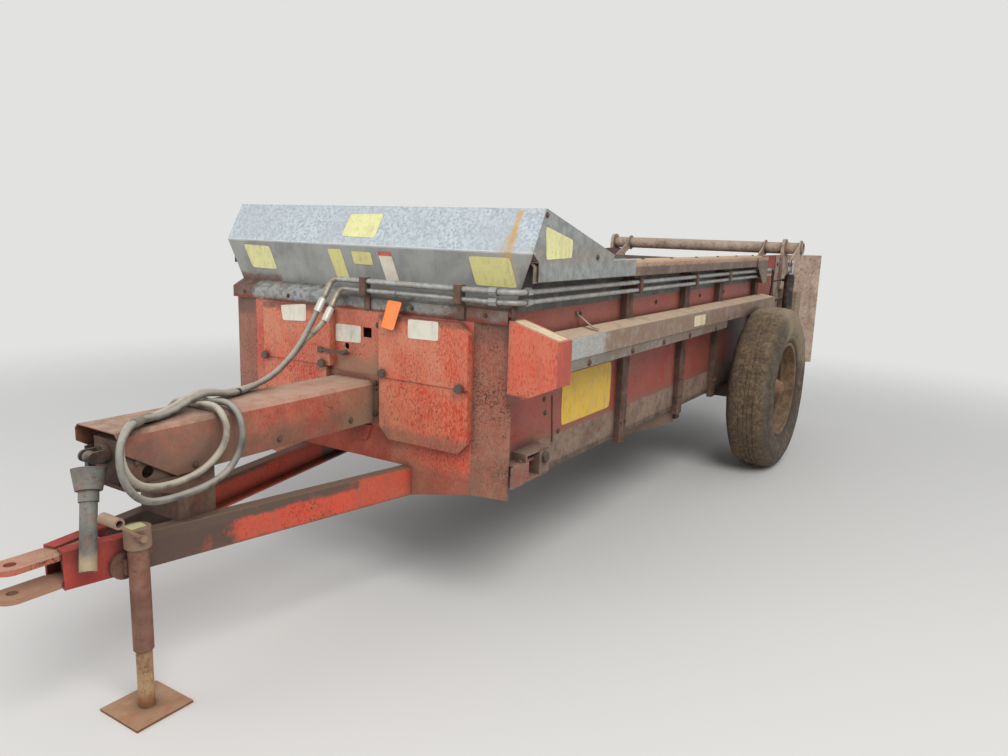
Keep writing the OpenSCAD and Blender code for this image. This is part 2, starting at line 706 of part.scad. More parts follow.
// Jack tube on its swivel disc, with gear head and winding handle
module jack_tube() {
  top = jack_z0 + jack_len;
  crank_x = jack_x + 14;
  crank_z = top + 40;
  reach = 143;
  color("darkred") frame() difference() {
    union() {
      linear_z(jack_z0, top) translate([jack_x, jack_y]) circle(d = jack_od);
      linear_z(top - e, top + 62) translate([jack_x, jack_y]) circle(d = 78);
      translate([disc_x, disc_y, disc_z]) rotate([0, 0, -rail_ang]) rotate([-90, 0, 0])
        cylinder(d = 84, h = 12);
      translate([jack_x + 2, disc_y + 6, disc_z - 23]) cube([28, 24, 46]);
      bar_y(crank_x, crank_z, 22, jack_y + 30, jack_y + 57);
      translate([crank_x, jack_y + 46, crank_z]) rotate([0, 49, 0]) cylinder(d = 12, h = reach + 7);
      translate([crank_x + reach * sin(49), jack_y + 36, crank_z + reach * cos(49)])
        rotate([-90, 0, 0]) difference() {
          cylinder(d = 32, h = 80);
          translate([0, 0, 14]) cylinder(d = 20, h = 80);
        }
    }
    linear_z(jack_z0 - 1, top + 50) translate([jack_x, jack_y]) circle(d = leg_od + 2);
  }
}
module jack_leg() {
  color("tan") frame() {
    difference() {
      linear_z(8 - e, jack_z0 + 180) translate([jack_x, jack_y]) circle(d = leg_od);
      linear_z(14, jack_z0 + 190) translate([jack_x, jack_y]) circle(d = leg_od - 8);
    }
    slab([jack_x - foot_w / 2, jack_y - foot_w / 2, 0], [jack_x + foot_w / 2, jack_y + foot_w / 2, 8]);
  }
}
// Wheel section, drawn from the inner lip round the drop centre to the outer lip
module wheel_section() {
  r = rim_d / 2;
  polygon([[r, -108], [r, -101], [r - 13, -99], [r - 19, -64], [r - 42, -48], [r - 42, 12],
    [r - 19, 28], [r - 13, 99], [r, 101], [r, 108], [r - 20, 106], [r - 26, 34], [r - 49, 18],
    [r - 49, -20], [r - 92, -64], [110, -80], [hub_r - 1, -80], [hub_r - 1, -92], [112, -92],
    [r - 88, -76], [r - 49, -44], [r - 49, -54], [r - 26, -70], [r - 20, -106]]);
}
module wheel_body() {
  translate([-axle_x, track_y, wheel_z]) rotate([-90, 0, 0]) difference() {
    union() {
      rotate_extrude($fn = 72) wheel_section();
      translate([0, 0, hub_y0 - track_y]) cylinder(r = hub_r, h = hub_y1 - hub_y0 - 60);
      translate([0, 0, hub_y1 - track_y - 60 - e]) cylinder(r = 46, h = 46);
      for (i = [0:9]) rotate([0, 0, i * 36]) translate([hub_r + 24, 0, -82])
        cylinder(d = 26, h = 22, $fn = 6);
    }
    translate([0, 0, hub_y0 - track_y - 1])
      cylinder(d = spindle_d + 2 * hub_gap, h = hub_y1 - hub_y0 - 28);
  }
}
module wheel_left() {
  color("tan") frame() wheel_body();
}
module wheel_right() {
  color("tan") frame() mirrored() wheel_body();
}
// Bald tyre with round shoulders and open inside
module tyre_raw() {
  r = rim_d / 2;
  t = tyre_d / 2;
  w = tyre_w / 2;
  translate([-axle_x, track_y, wheel_z]) rotate([-90, 0, 0]) rotate_extrude($fn = 64)
    polygon([[r - 13, -99], [r, -101], [r + 3, -101], [r + 12, -114], [r + 60, -w + 6],
      [r + 120, -w], [t - 60, -w + 10], [t - 26, -w + 26], [t - 7, -w + 54], [t, -w + 90],
      [t, w - 90], [t - 7, w - 54], [t - 26, w - 26], [t - 60, w - 10], [r + 120, w],
      [r + 60, w - 6], [r + 12, 114], [r + 3, 101], [r, 101], [r - 13, 99], [r - 15.2, 72],
      [r + 60, w - 26], [t - 70, w - 32], [t - 24, w - 84], [t - 24, -w + 84], [t - 70, -w + 32],
      [r + 60, -w + 26], [r - 17.5, -72]]);
}
module tyre_left() {
  color("dimgray") frame() tyre_raw();
}
module tyre_right() {
  color("dimgray") frame() mirrored() tyre_raw();
}
// Beater, a tube with flat paddles set round it in a spiral
module beater() {
  w = beat_half;
  n = beat_n;
  color("peru") frame() translate([-beat_x, 0, beat_z]) {
    difference() {
      bar_y(0, 0, beat_tube, -w, w);
      bar_y(0, 0, beat_tube - 16, -w + 10, w - 10);
    }
    bar_y(0, 0, 60, -wall_y - 30, shaft_y + 15);
    for (s = [-1, 1]) bar_y(0, 0, 420, s * (w - 4) - 4, s * (w - 4) + 4);
    for (i = [0:n - 1])
      for (k = [0, 1])
        translate([0, -w + 2 * w * (i + 0.5) / n, 0]) rotate([0, i * 45 + k * 180, 0])
          rotate([0, 0, 12]) {
            slab([-5, -50, beat_tube / 2 - 6], [5, 50, beat_r]);
          }
  }
}
// Rear side plate, flared outward past the end of the wall
module rear_plate_raw() {
  x0 = box_len - 335;
  y1 = wall_y + 224;
  difference() {
    linear_z(board_z - 20, rail_z - 2)
      polygon([[-x0, wall_y], [-box_len - 15, wall_y], [-rear_reach, y1], [-rear_reach, y1 + 7],
        [-box_len - 11, wall_y + 6], [-x0, wall_y + 6]]);
    bar_y(-beat_x, beat_z, 80, wall_y - 20, wall_y + 20);
  }
}
module rear_plate_left() {
  color("rosybrown") frame() rear_plate_raw();
}
module rear_plate_right() {
  color("rosybrown") frame() mirrored() rear_plate_raw();
}
module beater_bearing() {
  color("dimgray") frame() mirrored() difference() {
    slab([-beat_x - 60, wall_y + 6, beat_z - 60], [-beat_x + 60, wall_y + 40, beat_z + 60]);
    bar_y(-beat_x, beat_z, 60.1, wall_y, wall_y + 50);
  }
}
// One straight run of chain seen from above, a row of links with an eye and waisted sides
module chain_run_2d(waist) {
  n = floor((drive_x - idle_x) / link_pitch);
  difference() {
    translate([-drive_x, -17]) square([drive_x - idle_x, 34]);
    for (i = [0:n - 1]) {
      x = -idle_x - (i + 0.5) * link_pitch;
      translate([x - 20, -7]) square([36, 14]);
      if (waist > 0)
        for (s = [-1, 1]) translate([x - 28, s * 17 - waist]) square([36, 2 * waist]);
    }
  }
}
module chain_loop() {
  zc = shaft_z;
  side_plate(-13, 13) difference() {
    hull() {
      translate([-idle_x, zc]) circle(r = chain_r + 7, $fn = 24);
      translate([-drive_x, zc]) circle(r = chain_r + 7, $fn = 24);
    }
    hull() {
      translate([-idle_x, zc]) circle(r = chain_r - 5, $fn = 24);
      translate([-drive_x, zc]) circle(r = chain_r - 5, $fn = 24);
    }
    translate([-drive_x, zc - 100]) square([drive_x - idle_x, 200]);
  }
  linear_z(zc + chain_r - 5, zc + chain_r + 7) chain_run_2d(5);
  linear_z(zc - chain_r - 7, zc - chain_r + 5) chain_run_2d(0);
}
// Apron, two chains in a loop round the shafts with cross bars
module apron() {
  zc = shaft_z;
  run = drive_x - idle_x;
  w = in_y - 57;
  color("dimgray") frame() {
    for (s = [-1, 1]) translate([0, s * chain_y, 0]) chain_loop();
    for (i = [0:floor((run - 105) / bar_pitch)])
      slab([-idle_x - 105 - i * bar_pitch, -w, floor_z], [-idle_x - 80 - i * bar_pitch, w, floor_z + bar_h]);
    for (i = [0:floor((run - 150) / bar_pitch)])
      slab([-idle_x - 150 - i * bar_pitch, -w, return_z], [-idle_x - 125 - i * bar_pitch, w, return_z + 30]);
  }
}
module sprocket(x) {
  for (s = [-1, 1]) translate([-x, s * chain_y - 8, shaft_z]) rotate([-90, 0, 0])
    cylinder(r = chain_r - 6, h = 16);
}
// Shafts of the apron, the front one carried in the take up on the left
module apron_shafts() {
  color("gray") frame() {
    bar_y(-idle_x, shaft_z, 40, -sill_y, take_y + 12);
    sprocket(idle_x);
    bar_y(-drive_x, shaft_z, 40, -sill_y, sill_y);
    sprocket(drive_x);
  }
}
gate_z0 = floor_z + 42;
// Guides for the endgate on the inner side of each wall
module guides_raw() {
  for (x = [gate_x - 18, gate_x + 18 + gate_t])
    slab([-x - 6, in_y - 24, floor_z], [-x + 6, in_y, rail_z - 8]);
}
module gate_stop_raw() {
  slab([-gate_x - gate_t, in_y - 24, floor_z], [-gate_x, in_y, gate_z0]);
}
module gate_guide_left() {
  color("rosybrown") frame() {
    guides_raw();
    gate_stop_raw();
  }
}
module gate_guide_right() {
  color("rosybrown") frame() mirrored() {
    guides_raw();
    gate_stop_raw();
  }
}
// Endgate plate with stiffeners and the two slotted lift brackets
module endgate() {
  x0 = -gate_x - gate_t;
  color("lightslategray") frame() {
    slab([x0, -in_y + 6, gate_z0], [-gate_x, in_y - 6, rail_z - 44]);
    for (z = [gate_z0 + 58, rail_z - 84]) slab([x0 - 30, -in_y + 67, z], [x0 + e, in_y - 67, z + 12]);
    for (s = [-1, 1]) translate([0, s * (arm_y - 16), 0]) side_plate(-5, 5) difference() {
      translate([x0 - 140, pin_z - 42]) square([140 + e, 84]);
      translate([x0 - 122, pin_z - arm_pin / 2 - 9]) square([98, arm_pin + 18]);
    }
  }
}
// Lift tube with two arms inside the box and the cylinder lever outside
module lift_tube() {
  color("tan") frame() difference() {
    union() {
      bar_y(-lift_x, lift_z, lift_d, -wall_y - 40, lever_y + 20);
      for (s = [-1, 1]) translate([-lift_x, s * arm_y, lift_z]) rotate([0, arm_dip, 0]) {
        side_plate(-5, 5) union() {
          translate([0, -32]) square([arm_len, 64]);
          circle(d = lift_d + 30);
          translate([arm_len, 0]) circle(d = 64);
        }
        bar_y(arm_len, 0, arm_pin, -s * 16 - 16, -s * 16 + 16);
      }
      translate([-lift_x, lever_y, lift_z]) rotate([0, lever_dip, 0]) side_plate(-6, 6)
        difference() {
          union() {
            polygon([[0, -42], [0, 42], [lever_len, 30], [lever_len, -30]]);
            circle(d = lift_d + 36);
            translate([lever_len, 0]) circle(d = 60);
          }
          translate([lever_len - 30, -eye_pin / 2 - eye_play]) square([30, eye_pin + 2 * eye_play]);
          translate([lever_len, 0]) circle(d = eye_pin + 2 * eye_play);
          translate([lever_len - 30, 0]) circle(d = eye_pin + 2 * eye_play);
        }
    }
    bar_y(-lift_x, lift_z, lift_d - 14, -wall_y - 41, lever_y + 21);
  }
}
module lift_bearing_raw() {
  difference() {
    union() {
      slab([-lift_x - 70, wall_y + 6, gear_top + 20], [-lift_x + 70, wall_y + 30, lift_z]);
      bar_y(-lift_x, lift_z, 140, wall_y + 6, wall_y + 30);
    }
    bar_y(-lift_x, lift_z, lift_d + 0.1, wall_y, wall_y + 40);
  }
}
module lift_bearing_left() {
  color("rosybrown") frame() lift_bearing_raw();
}
module lift_bearing_right() {
  color("rosybrown") frame() mirrored() lift_bearing_raw();
}
// Lift cylinder, standing on its lug, the rod fork round the lever
module cylinder_lug() {
  color("rosybrown") frame() difference() {
    union() {
      slab([-base_x - 40, wall_y, base_z - 60], [-base_x + 40, wall_y + 12, base_z + 60]);
      slab([-base_x - 30, wall_y + 12 - e, base_z - 40], [-base_x + 30, lever_y - 20, base_z + 26]);
      bar_y(-base_x, base_z, 25, lever_y - 21, lever_y + 26);
    }
  }
}
module cyl_place() {
  translate([-base_x, lever_y, base_z]) rotate([0, cyl_lean, 0]) children();
}
module cylinder_body() {
  color("black") frame() cyl_place() difference() {
    union() {
      translate([0, 0, 34]) cylinder(d = 72, h = 426);
      translate([0, -16, 0]) rotate([-90, 0, 0]) cylinder(d = 52, h = 32);
      translate([-20, -16, 0]) cube([40, 32, 40]);
      translate([0, 0, 460 - e]) cylinder(d = 60, h = 14);
      for (z = [port_low, port_high]) translate([0, -50, z]) rotate([-90, 0, 0])
        cylinder(d = port_d, h = 18);
    }
    translate([0, -20, 0]) rotate([-90, 0, 0]) cylinder(d = 25.1, h = 40);
    translate([0, 0, 60]) cylinder(d = 60, h = 380);
    translate([0, 0, 400]) cylinder(d = 32.1, h = 200);
  }
}
module cylinder_rod() {
  color("silver") frame() cyl_place() {
    translate([0, 0, 100]) cylinder(d = 32, h = cyl_closed - 100 - fork_l - 8);
    translate([0, 0, 70]) cylinder(d = 58, h = 36);
    difference() {
      translate([-20, -18, cyl_closed - fork_l - 16]) cube([40, 36, fork_l + 16]);
      translate([-30, -11, cyl_closed - fork_l]) cube([60, 22, fork_l + 20]);
    }
    for (s = [-1, 1]) translate([0, s * 14.5 - 3.5, cyl_closed]) rotate([-90, 0, 0])
      cylinder(d = 50, h = 7);
    translate([0, -22, cyl_closed]) rotate([-90, 0, 0]) cylinder(d = eye_pin, h = 44);
  }
}
// Steel pipes along the front and the left side, with a union nut each side of the corner
module pipe(z, d, y_end) {
  rb = 60;
  bar_y(pipe_x, z, d, y_end, pipe_y - rb);
  translate([pipe_x - rb, pipe_y - rb, z]) rotate_extrude(angle = 90) translate([rb, 0]) circle(d = d);
  bar_x(pipe_y, z, d, -pipe_x1, pipe_x - rb);
  translate([pipe_x, pipe_y - rb - 46, z]) rotate([-90, 0, 0]) cylinder(d = d + 12, h = 34, $fn = 6);
  translate([pipe_x - rb - 44, pipe_y, z]) rotate([0, 90, 0]) cylinder(d = d + 12, h = 34, $fn = 6);
}
// Elbow and ferrule that turn the end of a pipe down to its hose
module pipe_elbow(z, d, y_end) {
  ex = pipe_x + elbow_r * sin(hose_lean);
  ez = z - elbow_r * cos(hose_lean);
  translate([ex, y_end, ez]) rotate([0, 270 - hose_lean, 0]) rotate([180, 0, 0])
    rotate_extrude(angle = 90) translate([elbow_r, 0]) circle(d = d);
  translate([ex, y_end - elbow_r, ez]) rotate([0, 180 - hose_lean, 0]) {
    translate([0, 0, -3]) cylinder(d = hose_d + 5, h = ferrule_l + 3);
  }
}
module pipe_upper() {
  color("silver") frame() pipe(pipe_z, pipe_d, pipe_end[0]);
}
module pipe_lower() {
  color("silver") frame() pipe(pipe_z - pipe_drop, pipe_d - 3, pipe_end[1]);
}
// Clamps that hold the two pipes, on the stakes and on the front wall
module pipe_clamps() {
  z0 = pipe_z - 52;
  z1 = pipe_z + 16;
  color("sienna") frame() difference() {
    union() {
      for (x = stake_xs)
        slab([-x - 15, stake_y, z0], [-x + 15, pipe_y + 16, z1]);
      for (y = [60, 520]) {
        slab([3, y, band_z + 5], [10, y + 30, z1]);
        slab([3, y, z0], [pipe_x + 16, y + 30, z1]);
      }
    }
    for (k = [0, 1]) {
      bar_x(pipe_y, pipe_z - pipe_drop * k, pipe_d - 3 * k, -pipe_x1, -500);
      bar_y(pipe_x, pipe_z - pipe_drop * k, pipe_d - 3 * k, 0, pipe_y - 75);
    }
  }
}
// Hoses from the pipes over the shield, round in a loop and down on its right side
module hose_upper() {
  color("gray") frame() tube_along(upper_route, hose_d);
}
module hose_lower() {
  color("gray") frame() tube_along(lower_route, hose_d);
}
// Fittings of the two hoses, an elbow at the pipe and a coupler at the free end
module hose_fittings() {
  color("silver") frame() {
    pipe_elbow(pipe_z, pipe_d, pipe_end[0]);
    pipe_elbow(pipe_z - pipe_drop, pipe_d - 3, pipe_end[1]);
    for (p = [upper_route, lower_route]) {
      q = p[len(p) - 1];
      translate([q[0], q[1], q[2] - 34]) cylinder(d = hose_d + 5, h = 34);
      translate([q[0], q[1], q[2] - 52]) cylinder(d = 34, h = 18, $fn = 6);
      translate([q[0], q[1], q[2] - 96]) cylinder(d = 24, h = 44);
      translate([q[0], q[1], q[2] - 80]) cylinder(d = 29, h = 8);
    }
  }
}
// Short hoses from the rear ends of the pipes to the ports of the cylinder
module cylinder_hose_upper() {
  color("black") frame() tube_along(short_upper_route, short_hose_d);
}
module cylinder_hose_lower() {
  color("black") frame() tube_along(short_lower_route, short_hose_d);
}

drawbar_rail_left();
drawbar_rail_right();
hitch_clevis();
cross_frame();
tie_beam();
axle_beam();
sill_left();
sill_right();
floor();
side_wall_left();
side_wall_right();
stakes_left();
stakes_right();
top_rail_left();
top_rail_right();
front_wall();
inner_front();
corner_strip_left();
corner_strip_right();
cover_left();
cover_right();
cap_band();
hood();
gear_shield();
side_shaft();
driveline_cover();
rear_gearbox();
tunnel_stand();
tunnel_shield();
line_shaft();
swing_shaft();
jack_tube();
jack_leg();
wheel_left();
wheel_right();
tyre_left();
tyre_right();
beater();
rear_plate_left();
rear_plate_right();
beater_bearing();
apron();
apron_shafts();
gate_guide_left();
gate_guide_right();
endgate();
lift_tube();
lift_bearing_left();
lift_bearing_right();
cylinder_lug();
cylinder_body();
cylinder_rod();
pipe_upper();
pipe_lower();
pipe_clamps();
hose_upper();
hose_lower();
hose_fittings();
cylinder_hose_upper();
cylinder_hose_lower();
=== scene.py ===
import math
import random

import bmesh
import bpy
from mathutils import Matrix, Vector, noise


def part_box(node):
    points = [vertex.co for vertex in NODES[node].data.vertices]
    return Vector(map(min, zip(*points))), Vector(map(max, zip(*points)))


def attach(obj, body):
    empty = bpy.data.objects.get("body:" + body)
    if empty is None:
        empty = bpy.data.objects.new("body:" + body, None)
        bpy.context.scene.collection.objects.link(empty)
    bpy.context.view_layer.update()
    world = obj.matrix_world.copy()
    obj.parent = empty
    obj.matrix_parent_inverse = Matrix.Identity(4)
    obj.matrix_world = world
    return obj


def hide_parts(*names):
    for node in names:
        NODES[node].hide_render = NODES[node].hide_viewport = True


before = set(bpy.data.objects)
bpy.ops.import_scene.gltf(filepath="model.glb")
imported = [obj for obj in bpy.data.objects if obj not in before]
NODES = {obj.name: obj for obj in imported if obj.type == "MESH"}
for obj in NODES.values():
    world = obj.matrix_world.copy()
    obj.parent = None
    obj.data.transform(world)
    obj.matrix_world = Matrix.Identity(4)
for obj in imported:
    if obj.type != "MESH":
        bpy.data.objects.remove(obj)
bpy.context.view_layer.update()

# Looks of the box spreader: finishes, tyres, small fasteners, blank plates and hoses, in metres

ORIGIN_SHIFT = 1.5115
RANDOM = random.Random(7)
X_AXIS = Vector((1, 0, 0))
Y_AXIS = Vector((0, 1, 0))
Z_AXIS = Vector((0, 0, 1))
SHARP_ANGLE = math.radians(38)
SMOOTH_ANGLE = math.radians(30)
WELD_GAP = 0.00002


def at(x, y, z):
    """A point measured from the front wall, in the row frame."""
    return Vector((x + ORIGIN_SHIFT, y, z))


# Camera of the photo: place, heading, pitch, roll and focal length in pixels
CAMERA_PLACE = at(2.342, 2.200, 1.484)
CAMERA_YAW = math.radians(212.18)
CAMERA_PITCH = math.radians(10.66)
CAMERA_ROLL = math.radians(1.89)
FOCAL_PIXELS = 780.19
IMAGE_WIDTH = 1008
SENSOR_WIDTH = 36.0


def make_camera():
    data = bpy.data.cameras.new("camera")
    data.sensor_width = SENSOR_WIDTH
    data.lens = FOCAL_PIXELS / IMAGE_WIDTH * SENSOR_WIDTH
    data.clip_start = 0.05
    data.clip_end = 200
    camera = bpy.data.objects.new("camera", data)
    bpy.context.scene.collection.objects.link(camera)
    look = Vector((math.cos(CAMERA_YAW) * math.cos(CAMERA_PITCH),
                   math.sin(CAMERA_YAW) * math.cos(CAMERA_PITCH),
                   -math.sin(CAMERA_PITCH)))
    level = look.cross(Z_AXIS).normalized()
    upright = level.cross(look)
    right = math.cos(CAMERA_ROLL) * level + math.sin(CAMERA_ROLL) * upright
    top = -math.sin(CAMERA_ROLL) * level + math.cos(CAMERA_ROLL) * upright
    turn = Matrix((right, top, -look)).transposed().to_4x4()
    camera.matrix_world = Matrix.Translation(CAMERA_PLACE) @ turn
    bpy.context.scene.camera = camera


make_camera()


# Pieces: a mesh, its finish and the body it rides on
def add_piece(name, bm, material, body="chassis", smooth=True):
    bmesh.ops.recalc_face_normals(bm, faces=bm.faces)
    mesh = bpy.data.meshes.new(name)
    bm.to_mesh(mesh)
    bm.free()
    for face in mesh.polygons:
        face.use_smooth = smooth
    mesh.set_sharp_from_angle(angle=SHARP_ANGLE)
    if material:
        mesh.materials.append(material)
    piece = bpy.data.objects.new(name, mesh)
    bpy.context.scene.collection.objects.link(piece)
    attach(piece, body)
    return piece


def smooth_path(points, steps):
    """A smooth line through the points of a route, steps pieces to each stretch."""
    path = []
    last = len(points) - 1
    for i in range(last):
        a, b = points[max(i - 1, 0)], points[i]
        c, d = points[i + 1], points[min(i + 2, last)]
        for k in range(steps):
            t = k / steps
            path.append(0.5 * (2 * b + (c - a) * t + (2 * a - 5 * b + 4 * c - d) * t ** 2
                               + (3 * b - a - 3 * c + d) * t ** 3))
    path.append(points[last])
    return path


def heading(path, i):
    """The direction of a path at one of its points."""
    return (path[min(i + 1, len(path) - 1)] - path[max(i - 1, 0)]).normalized()


def skin(bm, rings):
    """Closes the surface between rings of as many corners each, and both ends."""
    sides = len(rings[0])
    for low, high in zip(rings, rings[1:]):
        for k in range(sides):
            bm.faces.new((low[k], low[(k + 1) % sides], high[(k + 1) % sides], high[k]))
    bm.faces.new(rings[0])
    bm.faces.new(list(reversed(rings[-1])))


def sweep(bm, path, radius_at, sides=14):
    """Adds a closed round tube along the path, its radius given by the share of its length."""
    side = None
    rings = []
    for i, place in enumerate(path):
        ahead = heading(path, i)
        if side is None:
            side = ahead.cross(Vector((0.1, 1, 0.2))).normalized()
        side = (side - ahead * ahead.dot(side)).normalized()
        other = ahead.cross(side)
        radius = radius_at(i / (len(path) - 1))
        rings.append([bm.verts.new(place + radius * (math.cos(a) * side + math.sin(a) * other))
                      for a in (2 * math.pi * k / sides for k in range(sides))])
    skin(bm, rings)


# Hoses: the routes are those of the part, measured from the front wall
HOSE_D = 0.022
SHORT_HOSE_D = 0.014
HOSE_STEPS = 4
UPPER_ROUTE = [
    (0.0695, -0.1, 1.2015), (0.103, -0.1, 1.152), (0.15, -0.1, 1.086), (0.205, -0.098, 1.022),
    (0.272, -0.095, 0.965), (0.35, -0.088, 0.923), (0.435, -0.079, 0.898), (0.515, -0.065, 0.887),
    (0.585, -0.047, 0.89), (0.65, -0.027, 0.905), (0.71, -0.009, 0.915), (0.77, 0.007, 0.911),
    (0.835, 0.026, 0.895), (0.905, 0.05, 0.887), (0.97, 0.076, 0.893), (1.03, 0.106, 0.899),
    (1.082, 0.138, 0.889), (1.124, 0.168, 0.856), (1.143, 0.192, 0.808), (1.138, 0.205, 0.755),
    (1.108, 0.206, 0.709), (1.06, 0.198, 0.68), (1.0, 0.188, 0.668), (0.93, 0.178, 0.664),
    (0.86, 0.168, 0.665), (0.795, 0.162, 0.678), (0.745, 0.16, 0.706), (0.713, 0.16, 0.75),
    (0.7, 0.16, 0.8), (0.699, 0.149, 0.85), (0.698, 0.119, 0.882), (0.697, 0.076, 0.896),
    (0.696, 0.02, 0.89), (0.695, -0.045, 0.886), (0.694, -0.1, 0.884), (0.693, -0.142, 0.861),
    (0.692, -0.168, 0.82), (0.692, -0.177, 0.77), (0.692, -0.177, 0.715),
]
LOWER_ROUTE = [
    (0.0695, -0.06, 1.1655), (0.1, -0.06, 1.12), (0.13, -0.08, 1.075), (0.16, -0.112, 1.035),
    (0.196, -0.126, 0.99), (0.245, -0.131, 0.95), (0.305, -0.128, 0.915), (0.375, -0.117, 0.895),
    (0.45, -0.105, 0.886), (0.525, -0.09, 0.886), (0.595, -0.072, 0.893), (0.655, -0.054, 0.908),
    (0.715, -0.036, 0.915), (0.775, -0.019, 0.909), (0.84, -0.001, 0.893), (0.905, 0.021, 0.886),
    (0.965, 0.046, 0.888), (1.02, 0.075, 0.892), (1.068, 0.108, 0.88), (1.104, 0.137, 0.848),
    (1.117, 0.16, 0.803), (1.104, 0.17, 0.759), (1.07, 0.168, 0.725), (1.022, 0.16, 0.706),
    (0.965, 0.152, 0.698), (0.905, 0.146, 0.699), (0.85, 0.145, 0.711), (0.8, 0.146, 0.739),
    (0.768, 0.152, 0.779), (0.757, 0.156, 0.825), (0.755, 0.141, 0.863), (0.753, 0.108, 0.89),
    (0.752, 0.062, 0.896), (0.751, 0.005, 0.888), (0.75, -0.052, 0.886), (0.749, -0.104, 0.885),
    (0.747, -0.145, 0.858), (0.746, -0.168, 0.817), (0.746, -0.174, 0.765), (0.746, -0.174, 0.715),
]
SHORT_UPPER_ROUTE = [
    (-3.48, 0.775, 1.272), (-3.505, 0.775, 1.272), (-3.53, 0.775, 1.271), (-3.558, 0.773, 1.264),
    (-3.585, 0.77, 1.253), (-3.612, 0.765, 1.24), (-3.64, 0.757, 1.222), (-3.666, 0.749, 1.206),
    (-3.69, 0.743, 1.193), (-3.716, 0.74, 1.183), (-3.742, 0.741, 1.179), (-3.766, 0.75, 1.182),
    (-3.782, 0.765, 1.188), (-3.789, 0.781, 1.19), (-3.789, 0.795, 1.19),
]
SHORT_LOWER_ROUTE = [
    (-3.48, 0.775, 1.236), (-3.515, 0.775, 1.236), (-3.555, 0.773, 1.224), (-3.587, 0.769, 1.192),
    (-3.608, 0.763, 1.148), (-3.622, 0.756, 1.1), (-3.633, 0.749, 1.05), (-3.644, 0.743, 1.0),
    (-3.658, 0.739, 0.95), (-3.68, 0.738, 0.905), (-3.71, 0.739, 0.869), (-3.742, 0.743, 0.852),
    (-3.769, 0.754, 0.848), (-3.786, 0.769, 0.849), (-3.79, 0.782, 0.85), (-3.79, 0.795, 0.85),
]


def route_path(route):
    """The smooth line of a hose through its route."""
    return smooth_path([at(*p) for p in route], HOSE_STEPS)


def hose(node, route, diameter):
    """A hose on the part's own route, which stands for its plain solid."""
    path = route_path(route)
    bm = bmesh.new()
    sweep(bm, path, lambda share: diameter / 2)
    piece = add_piece(node + "_cover", bm, None)
    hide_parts(node)
    return piece


LONG_HOSES = [hose("hose_upper", UPPER_ROUTE, HOSE_D),
              hose("hose_lower", LOWER_ROUTE, HOSE_D)]
SHORT_HOSES = [hose("cylinder_hose_upper", SHORT_UPPER_ROUTE, SHORT_HOSE_D),
               hose("cylinder_hose_lower", SHORT_LOWER_ROUTE, SHORT_HOSE_D)]


# Node materials
def srgb(r, g, b):
    """A colour given as 0 to 255 screen values, in linear light."""
    def line(v):
        v = v / 255
        return v / 12.92 if v <= 0.04045 else ((v + 0.055) / 1.055) ** 2.4
    return (line(r), line(g), line(b), 1.0)


def darker(colour, share):
    """A share of a colour's light."""
    return tuple(share * v for v in srgb(*colour)[:3]) + (1.0,)


